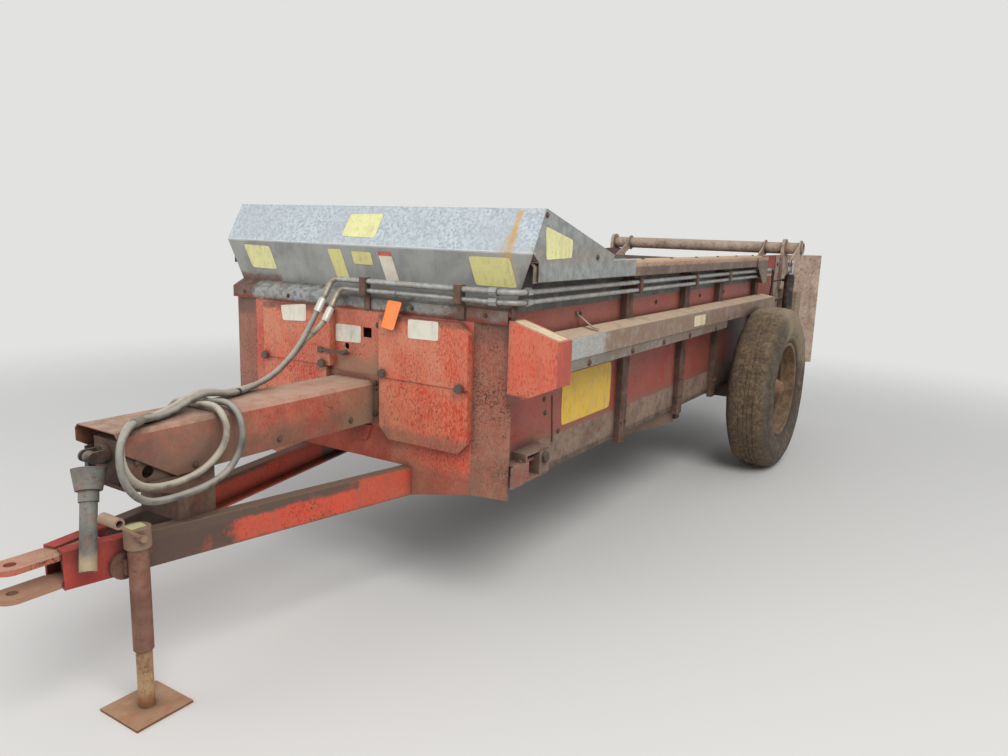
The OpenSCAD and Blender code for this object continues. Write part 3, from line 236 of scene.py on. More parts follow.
class Tree:
    """A material's node tree with short calls for the nodes that the finishes share."""

    def __init__(self, name):
        self.name = name
        self.material = bpy.data.materials.new(name)
        self.material.use_nodes = True
        self.nodes = self.material.node_tree.nodes
        self.links = self.material.node_tree.links
        self.nodes.clear()
        self.shader = self.nodes.new("ShaderNodeBsdfPrincipled")
        self.out = self.make("OutputMaterial", self.shader.outputs[0])
        coordinates = self.make("TexCoord").outputs
        self.place = coordinates["Object"]
        self.split_place = self.make("SeparateXYZ", self.place).outputs
        self.split_normal = self.make("SeparateXYZ", coordinates["Normal"]).outputs

    def put(self, socket, value):
        """Links or sets a socket, three screen values of a colour as linear light."""
        if isinstance(value, bpy.types.NodeSocket):
            self.links.new(value, socket)
        elif socket.type == "RGBA" and len(value) == 3:
            socket.default_value = srgb(*value)
        else:
            socket.default_value = value

    def make(self, kind, *ordered, **named):
        """A shader node with its inputs linked or set, an underscore in a name standing for a space."""
        node = self.nodes.new("ShaderNode" + kind)
        for i, value in enumerate(ordered):
            self.put(node.inputs[i], value)
        for name, value in named.items():
            self.put(node.inputs[name.replace("_", " ")], value)
        return node

    def stretched(self, scale):
        """The place on the object, scaled along each axis if a scale is given."""
        return self.make("Mapping", Vector=self.place, Scale=scale).outputs[0] if scale else self.place

    def noise(self, scale, detail=4.0, rough=0.6, warp=0.0, stretch=None):
        return self.make("TexNoise", Vector=self.stretched(stretch), Scale=scale, Detail=detail,
                         Roughness=rough, Distortion=warp).outputs["Fac"]

    def cells(self, scale, stretch=None):
        """A random value for each cell of a fine pattern."""
        pattern = self.make("TexVoronoi", Vector=self.stretched(stretch), Scale=scale)
        return self.make("SeparateColor", pattern.outputs["Color"]).outputs[0]

    def band(self, value, low, high, to_low=0.0, to_high=1.0):
        """Turns a value between low and high into one between two others, with soft ends."""
        node = self.make("MapRange", Value=value, From_Min=low, From_Max=high, To_Min=to_low, To_Max=to_high)
        node.interpolation_type = "SMOOTHSTEP"
        return node.outputs[0]

    def math(self, kind, a, b=0.0, clamp=False):
        node = self.make("Math", a, b)
        node.operation = kind
        node.use_clamp = clamp
        return node.outputs[0]

    def times(self, a, b, clamp=True):
        return self.math("MULTIPLY", a, b, clamp)

    def plus(self, a, b, clamp=True):
        return self.math("ADD", a, b, clamp)

    def mix(self, share, a, b):
        node = self.nodes.new("ShaderNodeMix")
        node.data_type = "RGBA"
        self.put(node.inputs[0], share)
        self.put(node.inputs[6], a)
        self.put(node.inputs[7], b)
        return node.outputs[2]

    def blotch(self, grain, low, high, most, under, over):
        """Lays one colour over another in the high parts of a noise, whose settings come first."""
        return self.mix(self.band(self.noise(*grain), low, high, 0.0, most), under, over)

    def axis(self, name):
        return self.split_place[name]

    def facing(self, name="Z"):
        """How far the surface faces along one axis of the row frame, from -1 to 1."""
        return self.split_normal[name]

    def crease_shade(self, distance):
        # Painted shade: 1 where ambient occlusion finds a crease, corner or recess within the distance
        node = self.make("AmbientOcclusion", Distance=distance)
        node.samples = 4
        return self.band(node.outputs["AO"], 0.55, 0.98, 1.0, 0.0)

    def edges(self, radius):
        """1 along the edges of a form, where its rounded normal leaves the flat one."""
        bevel = self.make("Bevel", Radius=radius)
        bevel.samples = 4
        product = self.make("VectorMath", bevel.outputs[0], self.make("NewGeometry").outputs["Normal"])
        product.operation = "DOT_PRODUCT"
        return self.band(product.outputs["Value"], 0.72, 0.97, 1.0, 0.0)

    def inside(self, soft=0.02, ragged=0.0, **limits):
        """1 within limits along x, y and z, measured from the front wall, with soft or ragged borders."""
        share = None
        wander = self.noise(24, 5, 0.7) if ragged else None
        for name, (low, high) in limits.items():
            value = self.axis(name.upper())
            shift = ORIGIN_SHIFT if name == "x" else 0.0
            if ragged:
                offset = self.times(self.math("SUBTRACT", wander, 0.5), ragged, False)
                value = self.plus(value, offset, False)
            for edge, rising in ((low, True), (high, False)):
                if edge is None:
                    continue
                part = self.band(value, edge + shift - soft, edge + shift + soft,
                                 0.0 if rising else 1.0, 1.0 if rising else 0.0)
                share = part if share is None else self.times(share, part)
        return share

    def tint_patch(self, colour, tone, strength, **limits):
        """Tints a limited place, more in some spots than in others."""
        spots = self.band(self.noise(13, 6, 0.7), 0.25, 0.6, 0.45, 1.0)
        share = self.times(self.inside(**limits), self.times(spots, strength))
        return self.mix(share, colour, tone)

    def add_stains_and_painted_light(self, colour):
        """The colour with all the stains, painted highlights and painted shade of this finish."""
        for tone, strength, limits in STAINS_AND_PAINTED_LIGHT.get(self.name, ()):
            colour = self.tint_patch(colour, tone, strength, **limits)
        return colour

    def shade_creases(self, colour, distance, strength):
        # Painted shade: darkens creases, corners and recesses towards the dark mud colour, as far as ambient
        # occlusion finds them
        return self.mix(self.times(self.crease_shade(distance), strength), colour, DARK_MUD_AND_SHADE)

    def bump(self, height, strength, distance=0.002):
        node = self.make("Bump", Strength=strength, Distance=distance, Height=height)
        self.put(self.shader.inputs["Normal"], node.outputs[0])

    def finish(self, colour, rough, metal=0.0):
        self.put(self.shader.inputs["Base Color"], colour)
        self.put(self.shader.inputs["Roughness"], rough)
        self.put(self.shader.inputs["Metallic"], metal)
        return self.material


DUST = (176, 158, 136)
MUD = (108, 90, 72)
# Dark mud, also the colour of the painted shade in creases and corners
DARK_MUD_AND_SHADE = (62, 50, 41)
RUST = (112, 64, 42)
DARK_RUST = (66, 42, 34)


# Its last argument sets how strongly painted shade darkens the creases and corners
def weathered_paint(name, fresh, faded, dust=0.6, mud=0.5, chips=0.5, mud_top=0.75, streak=0.4,
                    crease_shading=0.66):
    """Old paint: faded and scuffed, rust chips, dirt runs, dust on what faces up and mud low down."""
    t = Tree(name)
    colour = t.blotch((3.1, 5, 0.62, 0.4), 0.36, 0.64, 1.0, fresh, faded)
    scuff = t.noise(1.0, 4, 0.72, 0.3, stretch=(170, 170, 62))
    colour = t.mix(t.band(scuff, 0.47, 0.60, 0.0, 0.85), colour, faded)
    colour = t.mix(t.band(scuff, 0.35, 0.47, 0.75, 0.0), colour, darker(fresh, 0.42))
    mottle = t.noise(38, 3, 0.7)
    colour = t.blotch((1.0, 5, 0.7, 0.2, (26, 26, 2.2)), 0.50, 0.74, streak, colour, MUD)
    chip_map = t.noise(120, 3, 0.75)
    patch_map = t.noise(5.5, 4, 0.65)
    chip_sum = t.times(chip_map, t.band(patch_map, 0.25, 0.75, 0.80, 1.12))
    chip = t.band(chip_sum, 0.66 - 0.12 * chips, 0.70 - 0.12 * chips)
    worn = t.times(t.edges(0.005), t.band(t.noise(30, 5, 0.7), 0.34, 0.52, 0.0, 0.6))
    chip = t.math("MAXIMUM", chip, worn)
    colour = t.mix(chip, colour, t.mix(t.band(mottle, 0.4, 0.6), DARK_RUST, RUST))
    film = t.band(t.noise(9, 6, 0.7), 0.35, 0.75, 0.0, 0.42 * dust)
    colour = t.mix(film, colour, DUST)
    up = t.times(t.band(t.facing(), 0.35, 0.9), t.band(t.noise(14, 5, 0.65), 0.2, 0.62, 0.35, 1.0))
    colour = t.mix(t.times(up, dust), colour, DUST)
    low = t.band(t.axis("Z"), mud_top - 0.32, mud_top + 0.08, 1.0, 0.0)
    splash = t.times(low, t.band(t.noise(16, 6, 0.72), 0.36, 0.60))
    colour = t.mix(t.times(splash, mud), colour, MUD)
    colour = t.add_stains_and_painted_light(colour)
    # Painted shade in creases and corners
    colour = t.shade_creases(colour, 0.045, crease_shading)
    matt = t.plus(t.plus(film, splash), t.plus(chip, up))
    t.bump(t.plus(t.times(t.noise(120, 3, 0.7), 0.5), t.times(chip, 0.4)), 0.35, 0.0015)
    return t.finish(colour, t.band(matt, 0.0, 1.0, 0.5, 0.92))


def galvanised(name, bright, dull, dust=0.3, rust=0.3, crystal=130.0, metal=0.45, rough=0.5):
    """Zinc coat: fine crystal spangle, dull clouds, dust and brown runs."""
    t = Tree(name)
    grain = t.noise(crystal * 1.2, 3, 0.75)
    fleck = t.plus(t.times(t.cells(crystal), 0.35), t.times(grain, 0.65))
    colour = t.mix(t.band(fleck, 0.34, 0.64), dull, bright)
    colour = t.blotch((4.5, 5, 0.6, 0.5), 0.35, 0.7, 0.6, colour, dull)
    colour = t.blotch((1.0, 5, 0.7, 0.3, (30, 30, 2.5)), 0.56, 0.76, rust, colour, RUST)
    film = t.times(t.band(t.noise(11, 6, 0.7), 0.35, 0.72), dust)
    colour = t.mix(film, colour, DUST)
    colour = t.add_stains_and_painted_light(colour)
    worn = t.times(t.edges(0.004), 0.45)
    colour = t.mix(worn, colour, MUD)
    # Painted shade in creases and corners
    colour = t.shade_creases(colour, 0.04, 0.62)
    t.bump(t.plus(fleck, t.times(t.noise(7, 2, 0.5), 0.8)), 0.1, 0.002)
    return t.finish(colour, t.band(t.plus(fleck, film), 0.2, 1.2, rough - 0.06, rough + 0.3), metal)


def hood_zinc():
    """Hood: pale fine spangle on the upper sheet, plain dull zinc on the front sheet, dusty wings; the tone
    follows the way each face turns, partly painted light, paler facing up and darker facing forward and
    aside.
    """
    t = Tree("hood_zinc")
    fleck = t.plus(t.times(t.cells(105), 0.35), t.times(t.noise(120, 3, 0.7), 0.65))
    cloud = t.noise(5, 5, 0.6, 0.5)
    pale = t.mix(t.band(fleck, 0.30, 0.66), (152, 161, 167), (190, 197, 200))
    pale = t.mix(t.band(cloud, 0.36, 0.66, 0.0, 0.55), pale, (172, 178, 181))
    # The front sheet's duller tone is partly painted shade of a face that leans towards the ground
    plain_and_shaded = t.mix(t.band(cloud, 0.35, 0.66), (130, 131, 128), (151, 152, 148))
    plain_and_shaded = t.blotch((1.0, 5, 0.65, 0.3, (40, 40, 5)), 0.45, 0.7, 0.35, plain_and_shaded, (162, 159, 150))
    # The wings' darker grey is partly painted shade of faces turned aside
    shaded_wing = t.blotch((22, 6, 0.75), 0.35, 0.65, 1.0, (128, 130, 128), (156, 158, 154))
    slope = t.facing("Z")
    aside = t.band(t.math("ABSOLUTE", t.facing("Y")), 0.5, 0.7)
    # Painted light: the tone is picked by which way the face turns
    colour = t.mix(t.band(slope, 0.1, 0.35), plain_and_shaded, pale)
    colour = t.mix(aside, colour, shaded_wing)
    upward = t.band(slope, 0.75, 0.95)
    dust = t.times(upward, t.band(t.noise(10, 6, 0.7), 0.3, 0.7, 0.25, 0.75))
    colour = t.mix(dust, colour, (172, 166, 150))
    rub = t.times(t.band(t.noise(42, 5, 0.75), 0.55, 0.68), t.band(cloud, 0.45, 0.65, 0.0, 0.45))
    colour = t.mix(rub, colour, DUST)
    colour = t.add_stains_and_painted_light(colour)
    worn = t.times(t.edges(0.005), t.band(t.noise(26, 5, 0.7), 0.35, 0.6, 0.2, 0.8))
    colour = t.mix(worn, colour, (120, 108, 94))
    # Painted shade in creases and corners
    colour = t.shade_creases(colour, 0.04, 0.55)
    waves = t.noise(3.2, 2, 0.5)
    t.bump(t.plus(t.times(fleck, 0.15), waves), 0.35, 0.006)
    return t.finish(colour, t.band(t.noise(30, 4, 0.6), 0.3, 0.7, 0.5, 0.72), 0.3)


def dirty_steel(name, dark, light, rust=0.5, dust=0.4, rough=0.75, metal=0.15, lump=0.4):
    """Bare or worn steel under rust, caked dirt and dust."""
    t = Tree(name)
    colour = t.blotch((7, 6, 0.68, 0.3), 0.32, 0.68, 1.0, dark, light)
    colour = t.blotch((33, 5, 0.72), 0.50 - 0.15 * rust, 0.72, 0.85, colour, RUST)
    colour = t.blotch((90, 3, 0.7), 0.56, 0.68, 0.6, colour, DARK_RUST)
    colour = t.blotch((1.0, 5, 0.7, 0.2, (22, 22, 2.0)), 0.50, 0.74, 0.55, colour, MUD)
    colour = t.add_stains_and_painted_light(colour)
    up = t.times(t.band(t.facing(), 0.3, 0.9), t.band(t.noise(15, 5, 0.65), 0.22, 0.6, 0.3, 1.0))
    colour = t.mix(t.times(up, dust), colour, DUST)
    colour = t.blotch((12, 6, 0.7), 0.35, 0.75, 0.5 * dust, colour, DUST)
    # Painted shade in creases and corners
    colour = t.shade_creases(colour, 0.045, 0.6)
    t.bump(t.plus(t.times(t.noise(70, 5, 0.72), 0.6), t.times(t.noise(18, 4, 0.6), 0.4)), lump, 0.002)
    return t.finish(colour, t.band(t.noise(25, 4, 0.6), 0.3, 0.7, rough - 0.1, rough + 0.12), metal)


# Wheel centres in the row frame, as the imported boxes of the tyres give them
def wheel_centre(side):
    low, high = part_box("tyre_" + side)
    return (low + high) / 2


WHEEL = wheel_centre("left")


def radius_of(t):
    """Distance of a point from the wheel axis."""
    dx = t.math("SUBTRACT", t.axis("X"), WHEEL.x)
    dz = t.math("SUBTRACT", t.axis("Z"), WHEEL.z)
    square = t.plus(t.times(dx, dx, False), t.times(dz, dz, False), False)
    return t.math("SQRT", square)


def muddy_rubber():
    """Bald rubber under dried mud, paler on the shoulders and worn to dark patches on the crown."""
    t = Tree("muddy_rubber")
    reach = radius_of(t)
    crown = t.band(reach, 0.495, 0.522)
    dried = t.blotch((34, 6, 0.72), 0.34, 0.66, 1.0, (84, 68, 51), (124, 103, 79))
    # The sidewall's darker tone is partly painted shade on the side of the tyre, partly its mud
    side = t.blotch((20, 6, 0.7), 0.34, 0.66, 1.0, (68, 58, 47), (98, 84, 68))
    colour = t.mix(crown, side, dried)
    rubber = t.blotch((50, 4, 0.7), 0.35, 0.65, 1.0, (52, 44, 37), (80, 69, 57))
    bare = t.band(t.noise(15, 7, 0.78, 0.6), 0.47, 0.60)
    colour = t.mix(t.times(bare, t.band(crown, 0.0, 1.0, 0.35, 0.55)), colour, rubber)
    colour = t.blotch((9.0, 5, 0.7, 0.4), 0.52, 0.74, 0.4, colour, (142, 124, 98))
    colour = t.blotch((75, 4, 0.72), 0.50, 0.62, 0.7, colour, DARK_MUD_AND_SHADE)
    colour = t.add_stains_and_painted_light(colour)
    bead = t.band(reach, 0.318, 0.345, 1.0, 0.0)
    colour = t.mix(t.times(bead, 0.7), colour, DARK_MUD_AND_SHADE)
    height = t.plus(t.times(bare, -0.5, False), t.times(t.noise(60, 6, 0.75), 0.9), False)
    t.bump(height, 0.7, 0.004)
    return t.finish(colour, t.band(bare, 0.0, 1.0, 0.92, 0.78))


def rusty_rim():
    """Rim with dusty tan lips, a dark muddy disc, its darkness partly painted shade of the deep dish, and a
    worn red hub.
    """
    t = Tree("rusty_rim")
    reach = radius_of(t)
    tan = t.blotch((18, 6, 0.7), 0.34, 0.64, 1.0, (104, 82, 60), (136, 112, 84))
    # The disc's dark tone is partly painted shade inside the deep dish, partly mud
    shaded_disc = t.blotch((24, 6, 0.72), 0.34, 0.64, 1.0, (48, 37, 29), (76, 60, 46))
    red = t.blotch((40, 4, 0.7), 0.36, 0.62, 1.0, (158, 58, 46), (116, 64, 50))
    colour = t.mix(t.band(reach, 0.245, 0.285), shaded_disc, tan)
    colour = t.mix(t.band(reach, 0.078, 0.086, 1.0, 0.0), colour, red)
    colour = t.blotch((46, 5, 0.72), 0.50, 0.66, 0.8, colour, RUST)
    colour = t.blotch((11, 6, 0.7), 0.48, 0.66, 0.55, colour, DARK_MUD_AND_SHADE)
    # Painted shade in creases and corners
    colour = t.shade_creases(colour, 0.05, 0.7)
    t.bump(t.noise(70, 5, 0.72), 0.45, 0.002)
    return t.finish(colour, 0.85, 0.05)


def plain_plate(name, base, wear=0.35, stripe=None, stripe_limits=None):
    """A blank plate or sticker, sun faded and dusty, with scuffs and specks of mud."""
    t = Tree(name)
    colour = base
    if stripe:
        colour = t.mix(t.inside(soft=0.002, **stripe_limits), base, stripe)
    colour = t.blotch((16, 6, 0.7), 0.40, 0.74, wear, colour, DUST)
    colour = t.blotch((1.0, 5, 0.7, 0.3, (60, 60, 14)), 0.50, 0.72, wear, colour, MUD)
    colour = t.blotch((95, 4, 0.75), 0.60, 0.70, 0.5, colour, MUD)
    t.bump(t.noise(140, 3, 0.6), 0.1, 0.0006)
    return t.finish(colour, t.band(t.noise(20, 3, 0.5), 0.3, 0.7, 0.42, 0.7))


def worn_boards():
    """Floor boards that run along the box, grey brown with old manure on them."""
    t = Tree("worn_boards")
    grain = t.noise(1.0, 6, 0.65, 0.8, stretch=(2.0, 60, 60))
    colour = t.mix(t.band(grain, 0.3, 0.7), (86, 70, 54), (136, 114, 90))
    colour = t.mix(t.times(t.cells(1.0, stretch=(0.02, 6.6, 0.02)), 0.5), colour, (104, 88, 72))
    colour = t.blotch((7, 7, 0.7), 0.42, 0.62, 0.8, colour, (74, 58, 42))
    t.bump(t.plus(grain, t.noise(40, 5, 0.7)), 0.4, 0.003)
    return t.finish(colour, 0.88)


def smooth_metal(name, base, rough, metal, smear=0.3):
    t = Tree(name)
    colour = t.blotch((22, 5, 0.65), 0.45, 0.72, smear, base, MUD)
    t.bump(t.noise(90, 3, 0.6), 0.06, 0.0006)
    return t.finish(colour, t.band(t.noise(30, 4, 0.6), 0.3, 0.75, rough, rough + 0.25), metal)


def hose_rubber(name, dark, pale, top):
    """Dusty hose cover with a fine wrapped texture, paler towards its upper side."""
    t = Tree(name)
    colour = t.blotch((14, 5, 0.65), 0.35, 0.62, 1.0, dark, pale)
    # Paler as the surface turns upward
    colour = t.mix(t.band(t.facing(), -0.1, 0.8, 0.0, 0.7), colour, top)
    colour = t.blotch((60, 4, 0.7), 0.56, 0.72, 0.5, colour, MUD)
    t.bump(t.noise(420, 2, 0.5), 0.3, 0.0008)
    return t.finish(colour, 0.78)


def tint(r, g, b, strength, ragged, soft, **limits):
    """A tinted patch, a stain in most cases and painted highlight or shade in a few: its colour and strength,
    how ragged and soft its border is, and the place it keeps to.
    """
    return (r, g, b), strength, dict(limits, ragged=ragged, soft=soft)


# Stains of each finish, with a few patches of painted highlight and shade among them: colour, strength,
# ragged and soft border, and limits from the front wall
STAINS_AND_PAINTED_LIGHT = {
    "red_cover": [
        tint(112, 66, 50, 0.9, 0.05, 0.008, z=(1.125, None)),
        tint(116, 92, 76, 0.6, 0.06, 0.02, z=(None, 0.70)),
        tint(86, 74, 66, 1.6, 0, 0.0006, x=(0.0315, None)),
    ],
    "red_front": [
        tint(150, 116, 92, 0.9, 0.08, 0.03, y=(-0.11, 0.155), z=(0.80, 0.965)),
        tint(88, 70, 56, 1.5, 0, 0.0006, x=(0.010, None), z=(0.95, 1.07)),
        tint(128, 82, 64, 0.65, 0.08, 0.03, z=(None, 0.56)),
        tint(150, 44, 32, 0.7, 0.05, 0.02, y=(-0.3, 0.2), z=(0.53, 0.70)),
    ],
    "red_corner": [tint(96, 66, 52, 0.8, 0.12, 0.02, z=(1.08, None))],
    "red_shield": [
        tint(76, 50, 42, 0.85, 0.05, 0.01, z=(None, 0.905)),
        tint(158, 64, 52, 0.9, 0, 0.0006, y=(0.9432, None)),
    ],
    "red_rail": [
        tint(140, 36, 32, 0.85, 0.05, 0.02, x=(1.03, None)),
        tint(82, 62, 52, 1.3, 0.16, 0.03, x=(0.74, 1.04)),
        tint(86, 68, 56, 1.2, 0.035, 0.008, x=(0.25, 1.04), z=(0.515, None)),
        tint(98, 76, 62, 0.8, 0.025, 0.008, x=(None, 0.9), z=(None, 0.437)),
        tint(112, 86, 70, 1.4, 0.05, 0.02, x=(None, -0.12)),
        tint(110, 88, 72, 1.3, 0, 0.002, x=(None, 1.04), z=(0.5455, None)),
    ],
    "red_tunnel": [
        tint(104, 76, 60, 0.7, 0.09, 0.03, z=(None, 0.78)),
        tint(118, 88, 72, 0.85, 0.2, 0.05, x=(0.64, 1.02), z=(None, 0.862)),
        tint(88, 70, 58, 0.75, 0.15, 0.04, x=(0.98, None), z=(None, 0.865)),
        tint(136, 112, 88, 0.7, 0.12, 0.04, x=(None, 0.16), z=(None, 0.865)),
    ],
    "red_side": [
        tint(168, 104, 86, 0.5, 0.1, 0.04, y=(0.7, None), z=(1.0, 1.2)),
        tint(120, 84, 68, 0.7, 0.04, 0.02, z=(None, 0.69)),
        tint(96, 70, 58, 0.75, 0.2, 0.15, y=(0.7, None), x=(None, -2.2), z=(None, 0.95)),
        tint(66, 64, 62, 0.75, 0, 0.0005, y=(-0.6879, 0.6879)),
    ],
    "faded_rail": [
        # Painted shade: the top rail darkened below its top, on the faces under its lip
        tint(70, 60, 50, 0.85, 0.015, 0.006, z=(None, 1.345)),
        tint(204, 164, 120, 0.75, 0, 0.0008, x=(None, -0.97), z=(1.3725, None)),
        tint(128, 122, 108, 0.6, 0, 0.01, x=(-0.97, None), z=(1.0, None)),
    ],
    "sill_steel": [
        tint(150, 74, 58, 0.6, 0.04, 0.012, x=(-0.20, -0.02), z=(0.55, 0.64)),
        tint(54, 42, 35, 0.8, 0.02, 0.01, z=(None, 0.545)),
    ],
    "hitch_paint": [
        tint(158, 112, 84, 0.9, 0.05, 0.01, x=(1.20, None), z=(0.545, None)),
        tint(152, 116, 92, 0.9, 0.03, 0.01, x=(1.20, None), z=(0.43, 0.47)),
    ],
    "jack_steel": [tint(150, 124, 100, 0.8, 0.03, 0.01, z=(0.515, None))],
    "jack_leg_steel": [tint(150, 92, 46, 1.2, 0.05, 0.015, z=(None, 0.045))],
    "galvanised_cap": [
        tint(112, 74, 58, 0.9, 0.4, 0.05, x=(-0.07, None), y=(0.46, None)),
        tint(108, 66, 50, 0.9, 0.2, 0.04, x=(-0.07, None), y=(None, -0.60)),
        tint(128, 60, 44, 0.95, 0.035, 0.005, x=(-0.01, None), z=(None, 1.166)),
        tint(84, 78, 70, 0.7, 0.06, 0.02, x=(-0.03, None), y=(-0.1, 0.3), z=(1.185, None)),
        tint(74, 72, 67, 0.85, 0, 0.01, x=(None, -0.07)),
    ],
    "galvanised_cover": [
        tint(138, 112, 94, 1.1, 0.24, 0.04, x=(None, -0.62), z=(0.97, None)),
        tint(204, 180, 152, 1.1, 0, 0.004, y=(None, 0.826), z=(1.075, None)),
        tint(112, 98, 84, 0.8, 0, 0.004, z=(None, 0.998)),
        tint(92, 72, 60, 0.8, 0.3, 0.1, x=(None, -1.8), z=(None, 0.998)),
    ],
    "grey_guard": [tint(168, 146, 114, 0.8, 0.06, 0.02, z=(None, 0.545))],
    "muddy_rubber": [tint(150, 132, 104, 0.75, 0.25, 0.1, x=(None, -2.72), z=(0.66, None))],
    "hood_zinc": [
        tint(112, 64, 42, 0.8, 0.05, 0.012, x=(-0.1, None), y=(None, -0.48), z=(None, 1.262)),
        tint(108, 90, 72, 0.6, 0.08, 0.02, x=(-0.1, None), y=(0.75, None), z=(None, 1.36)),
        # Painted highlight: a pale line along the crease between the front and upper sheets
        tint(222, 222, 216, 0.5, 0.004, 0.003, x=(-0.05, None), z=(1.405, 1.413)),
        tint(196, 152, 88, 0.95, 0.03, 0.007, y=(0.694, 0.716), z=(1.33, 1.556)),
        tint(176, 150, 112, 0.5, 0.05, 0.02, y=(0.668, 0.728), z=(1.30, 1.47)),
        tint(150, 118, 88, 0.25, 0.04, 0.02, y=(0.79, None), z=(1.37, 1.44)),
    ],
}
RED_COVER = weathered_paint(
    "red_cover", (200, 68, 40), (202, 124, 94), dust=0.3, mud=0.3, chips=0.3, crease_shading=0.5)
RED_FRONT = weathered_paint(
    "red_front", (196, 64, 42), (192, 114, 88), dust=0.25, mud=0.3, chips=0.3, crease_shading=0.25)
RED_CORNER = weathered_paint(
    "red_corner", (150, 74, 56), (146, 100, 80), dust=0.35, mud=0.5, chips=1.0, mud_top=0.8, streak=0.5)
RED_SHIELD = weathered_paint("red_shield", (204, 70, 44), (202, 104, 76), dust=0.3, mud=0.2, chips=0.45)
RED_RAIL = weathered_paint(
    "red_rail", (206, 64, 38), (186, 76, 52), dust=0.15, mud=0.25, chips=0.55, mud_top=0.55)
RED_TUNNEL = weathered_paint(
    "red_tunnel", (178, 66, 46), (160, 90, 68), dust=0.75, mud=0.5, chips=0.5, mud_top=0.9)
RED_SIDE = weathered_paint(
    "red_side", (156, 46, 36), (142, 66, 52), dust=0.22, mud=0.4, chips=0.3, mud_top=0.72)
FADED_RAIL = weathered_paint("faded_rail", (150, 104, 80), (172, 140, 110), dust=0.7, mud=0.3, chips=0.55)
BROWN = dirty_steel("brown_steel", (64, 46, 38), (98, 70, 57), rust=0.5, dust=0.4)
SILL = dirty_steel("sill_steel", (106, 85, 73), (140, 118, 102), rust=0.15, dust=0.35)
STAKE = dirty_steel("stake_steel", (60, 40, 34), (88, 58, 48), rust=0.45, dust=0.35)
DARK_STEEL = dirty_steel("dark_steel", (46, 38, 34), (74, 60, 50), rust=0.3, dust=0.35)
RUSTY = dirty_steel("rusty_steel", (104, 72, 52), (140, 98, 68), rust=0.8, dust=0.45, lump=0.6)
HITCH = weathered_paint(
    "hitch_paint", (192, 66, 44), (170, 92, 66), dust=0.55, mud=0.5, chips=0.8, mud_top=0.2)
JACK = dirty_steel("jack_steel", (104, 64, 54), (136, 92, 76), rust=0.65, dust=0.3, lump=0.6)
JACK_LEG = dirty_steel("jack_leg_steel", (150, 114, 78), (184, 150, 108), rust=0.3, dust=0.4, lump=0.5)
TAN = dirty_steel("tan_steel", (130, 108, 86), (162, 140, 116), rust=0.3, dust=0.7)
PINK_TAN = dirty_steel("pink_tan_steel", (160, 134, 118), (190, 168, 150), rust=0.2, dust=0.7)
APRON = dirty_steel("apron_steel", (70, 54, 42), (112, 88, 66), rust=0.6, dust=0.4, lump=0.6)
HOOD = hood_zinc()
CAP = galvanised("galvanised_cap", (160, 164, 164), (116, 118, 116), dust=0.35, rust=0.35, crystal=60)
COVER = galvanised(
    "galvanised_cover", (176, 176, 172), (150, 150, 146), dust=0.35, rust=0.15,
    crystal=140, rough=0.6, metal=0.25)
ZINC_PIPE = galvanised("galvanised_pipe", (172, 174, 173), (140, 140, 137), dust=0.3, rust=0.2, crystal=60)
RUBBER = muddy_rubber()
RIM = rusty_rim()
BOARDS = worn_boards()
BLUE_STEEL = dirty_steel("blue_grey_steel", (84, 90, 98), (112, 116, 120), rust=0.35, dust=0.35)
CHROME = smooth_metal("chrome_rod", (190, 190, 190), 0.18, 0.9)
BLACK = smooth_metal("black_paint", (34, 30, 29), 0.5, 0.0, 0.6)
GUARD = dirty_steel("grey_guard", (72, 76, 74), (112, 114, 108), rust=0.15, dust=0.35, rough=0.65, metal=0.1)
FITTING = smooth_metal("plated_fitting", (150, 140, 124), 0.42, 0.55, 0.6)
HOSE = hose_rubber("hose_rubber", (100, 95, 86), (150, 142, 126), (186, 176, 158))
HOSE_GREY = hose_rubber("hose_grey", (76, 75, 72), (122, 118, 110), (166, 159, 146))
CRIMP = smooth_metal("crimped_end", (196, 192, 182), 0.4, 0.4, 0.25)
HOSE_DARK = hose_rubber("hose_black", (34, 32, 31), (58, 55, 52), (92, 86, 80))
BOLT = dirty_steel("bolt_steel", (50, 40, 34), (92, 72, 56), rust=0.6, dust=0.3)

# The nodes that share a finish, a star standing for left and right
FINISHES = [
    (RED_RAIL, "drawbar_rail_*"),
    (HITCH, "hitch_clevis"),
    (DARK_STEEL, "cross_frame tie_beam axle_beam side_shaft line_shaft beater_bearing apron_shafts"),
    (SILL, "sill_*"),
    (BOARDS, "floor"),
    (RED_SIDE, "side_wall_*"),
    (STAKE, "stakes_*"),
    (FADED_RAIL, "top_rail_*"),
    (RED_FRONT, "front_wall"),
    (BLUE_STEEL, "inner_front endgate"),
    (RED_CORNER, "corner_strip_*"),
    (RED_COVER, "cover_*"),
    (CAP, "cap_band"),
    (HOOD, "hood"),
    (RED_SHIELD, "gear_shield"),
    (COVER, "driveline_cover"),
    (TAN, "rear_gearbox"),
    (BROWN, "tunnel_stand gate_guide_* cylinder_lug pipe_clamps"),
    (RED_TUNNEL, "tunnel_shield"),
    (GUARD, "swing_shaft"),
    (JACK, "jack_tube"),
    (JACK_LEG, "jack_leg"),
    (RIM, "wheel_*"),
    (RUBBER, "tyre_*"),
    (RUSTY, "beater"),
    (PINK_TAN, "rear_plate_* lift_tube lift_bearing_*"),
    (APRON, "apron"),
    (BLACK, "cylinder_body"),
    (CHROME, "cylinder_rod"),
    (ZINC_PIPE, "pipe_upper pipe_lower"),
    (FITTING, "hose_fittings"),
]
FINISH_OF = {node.replace("*", side): finish
             for finish, nodes in FINISHES for node in nodes.split() for side in ("left", "right")}


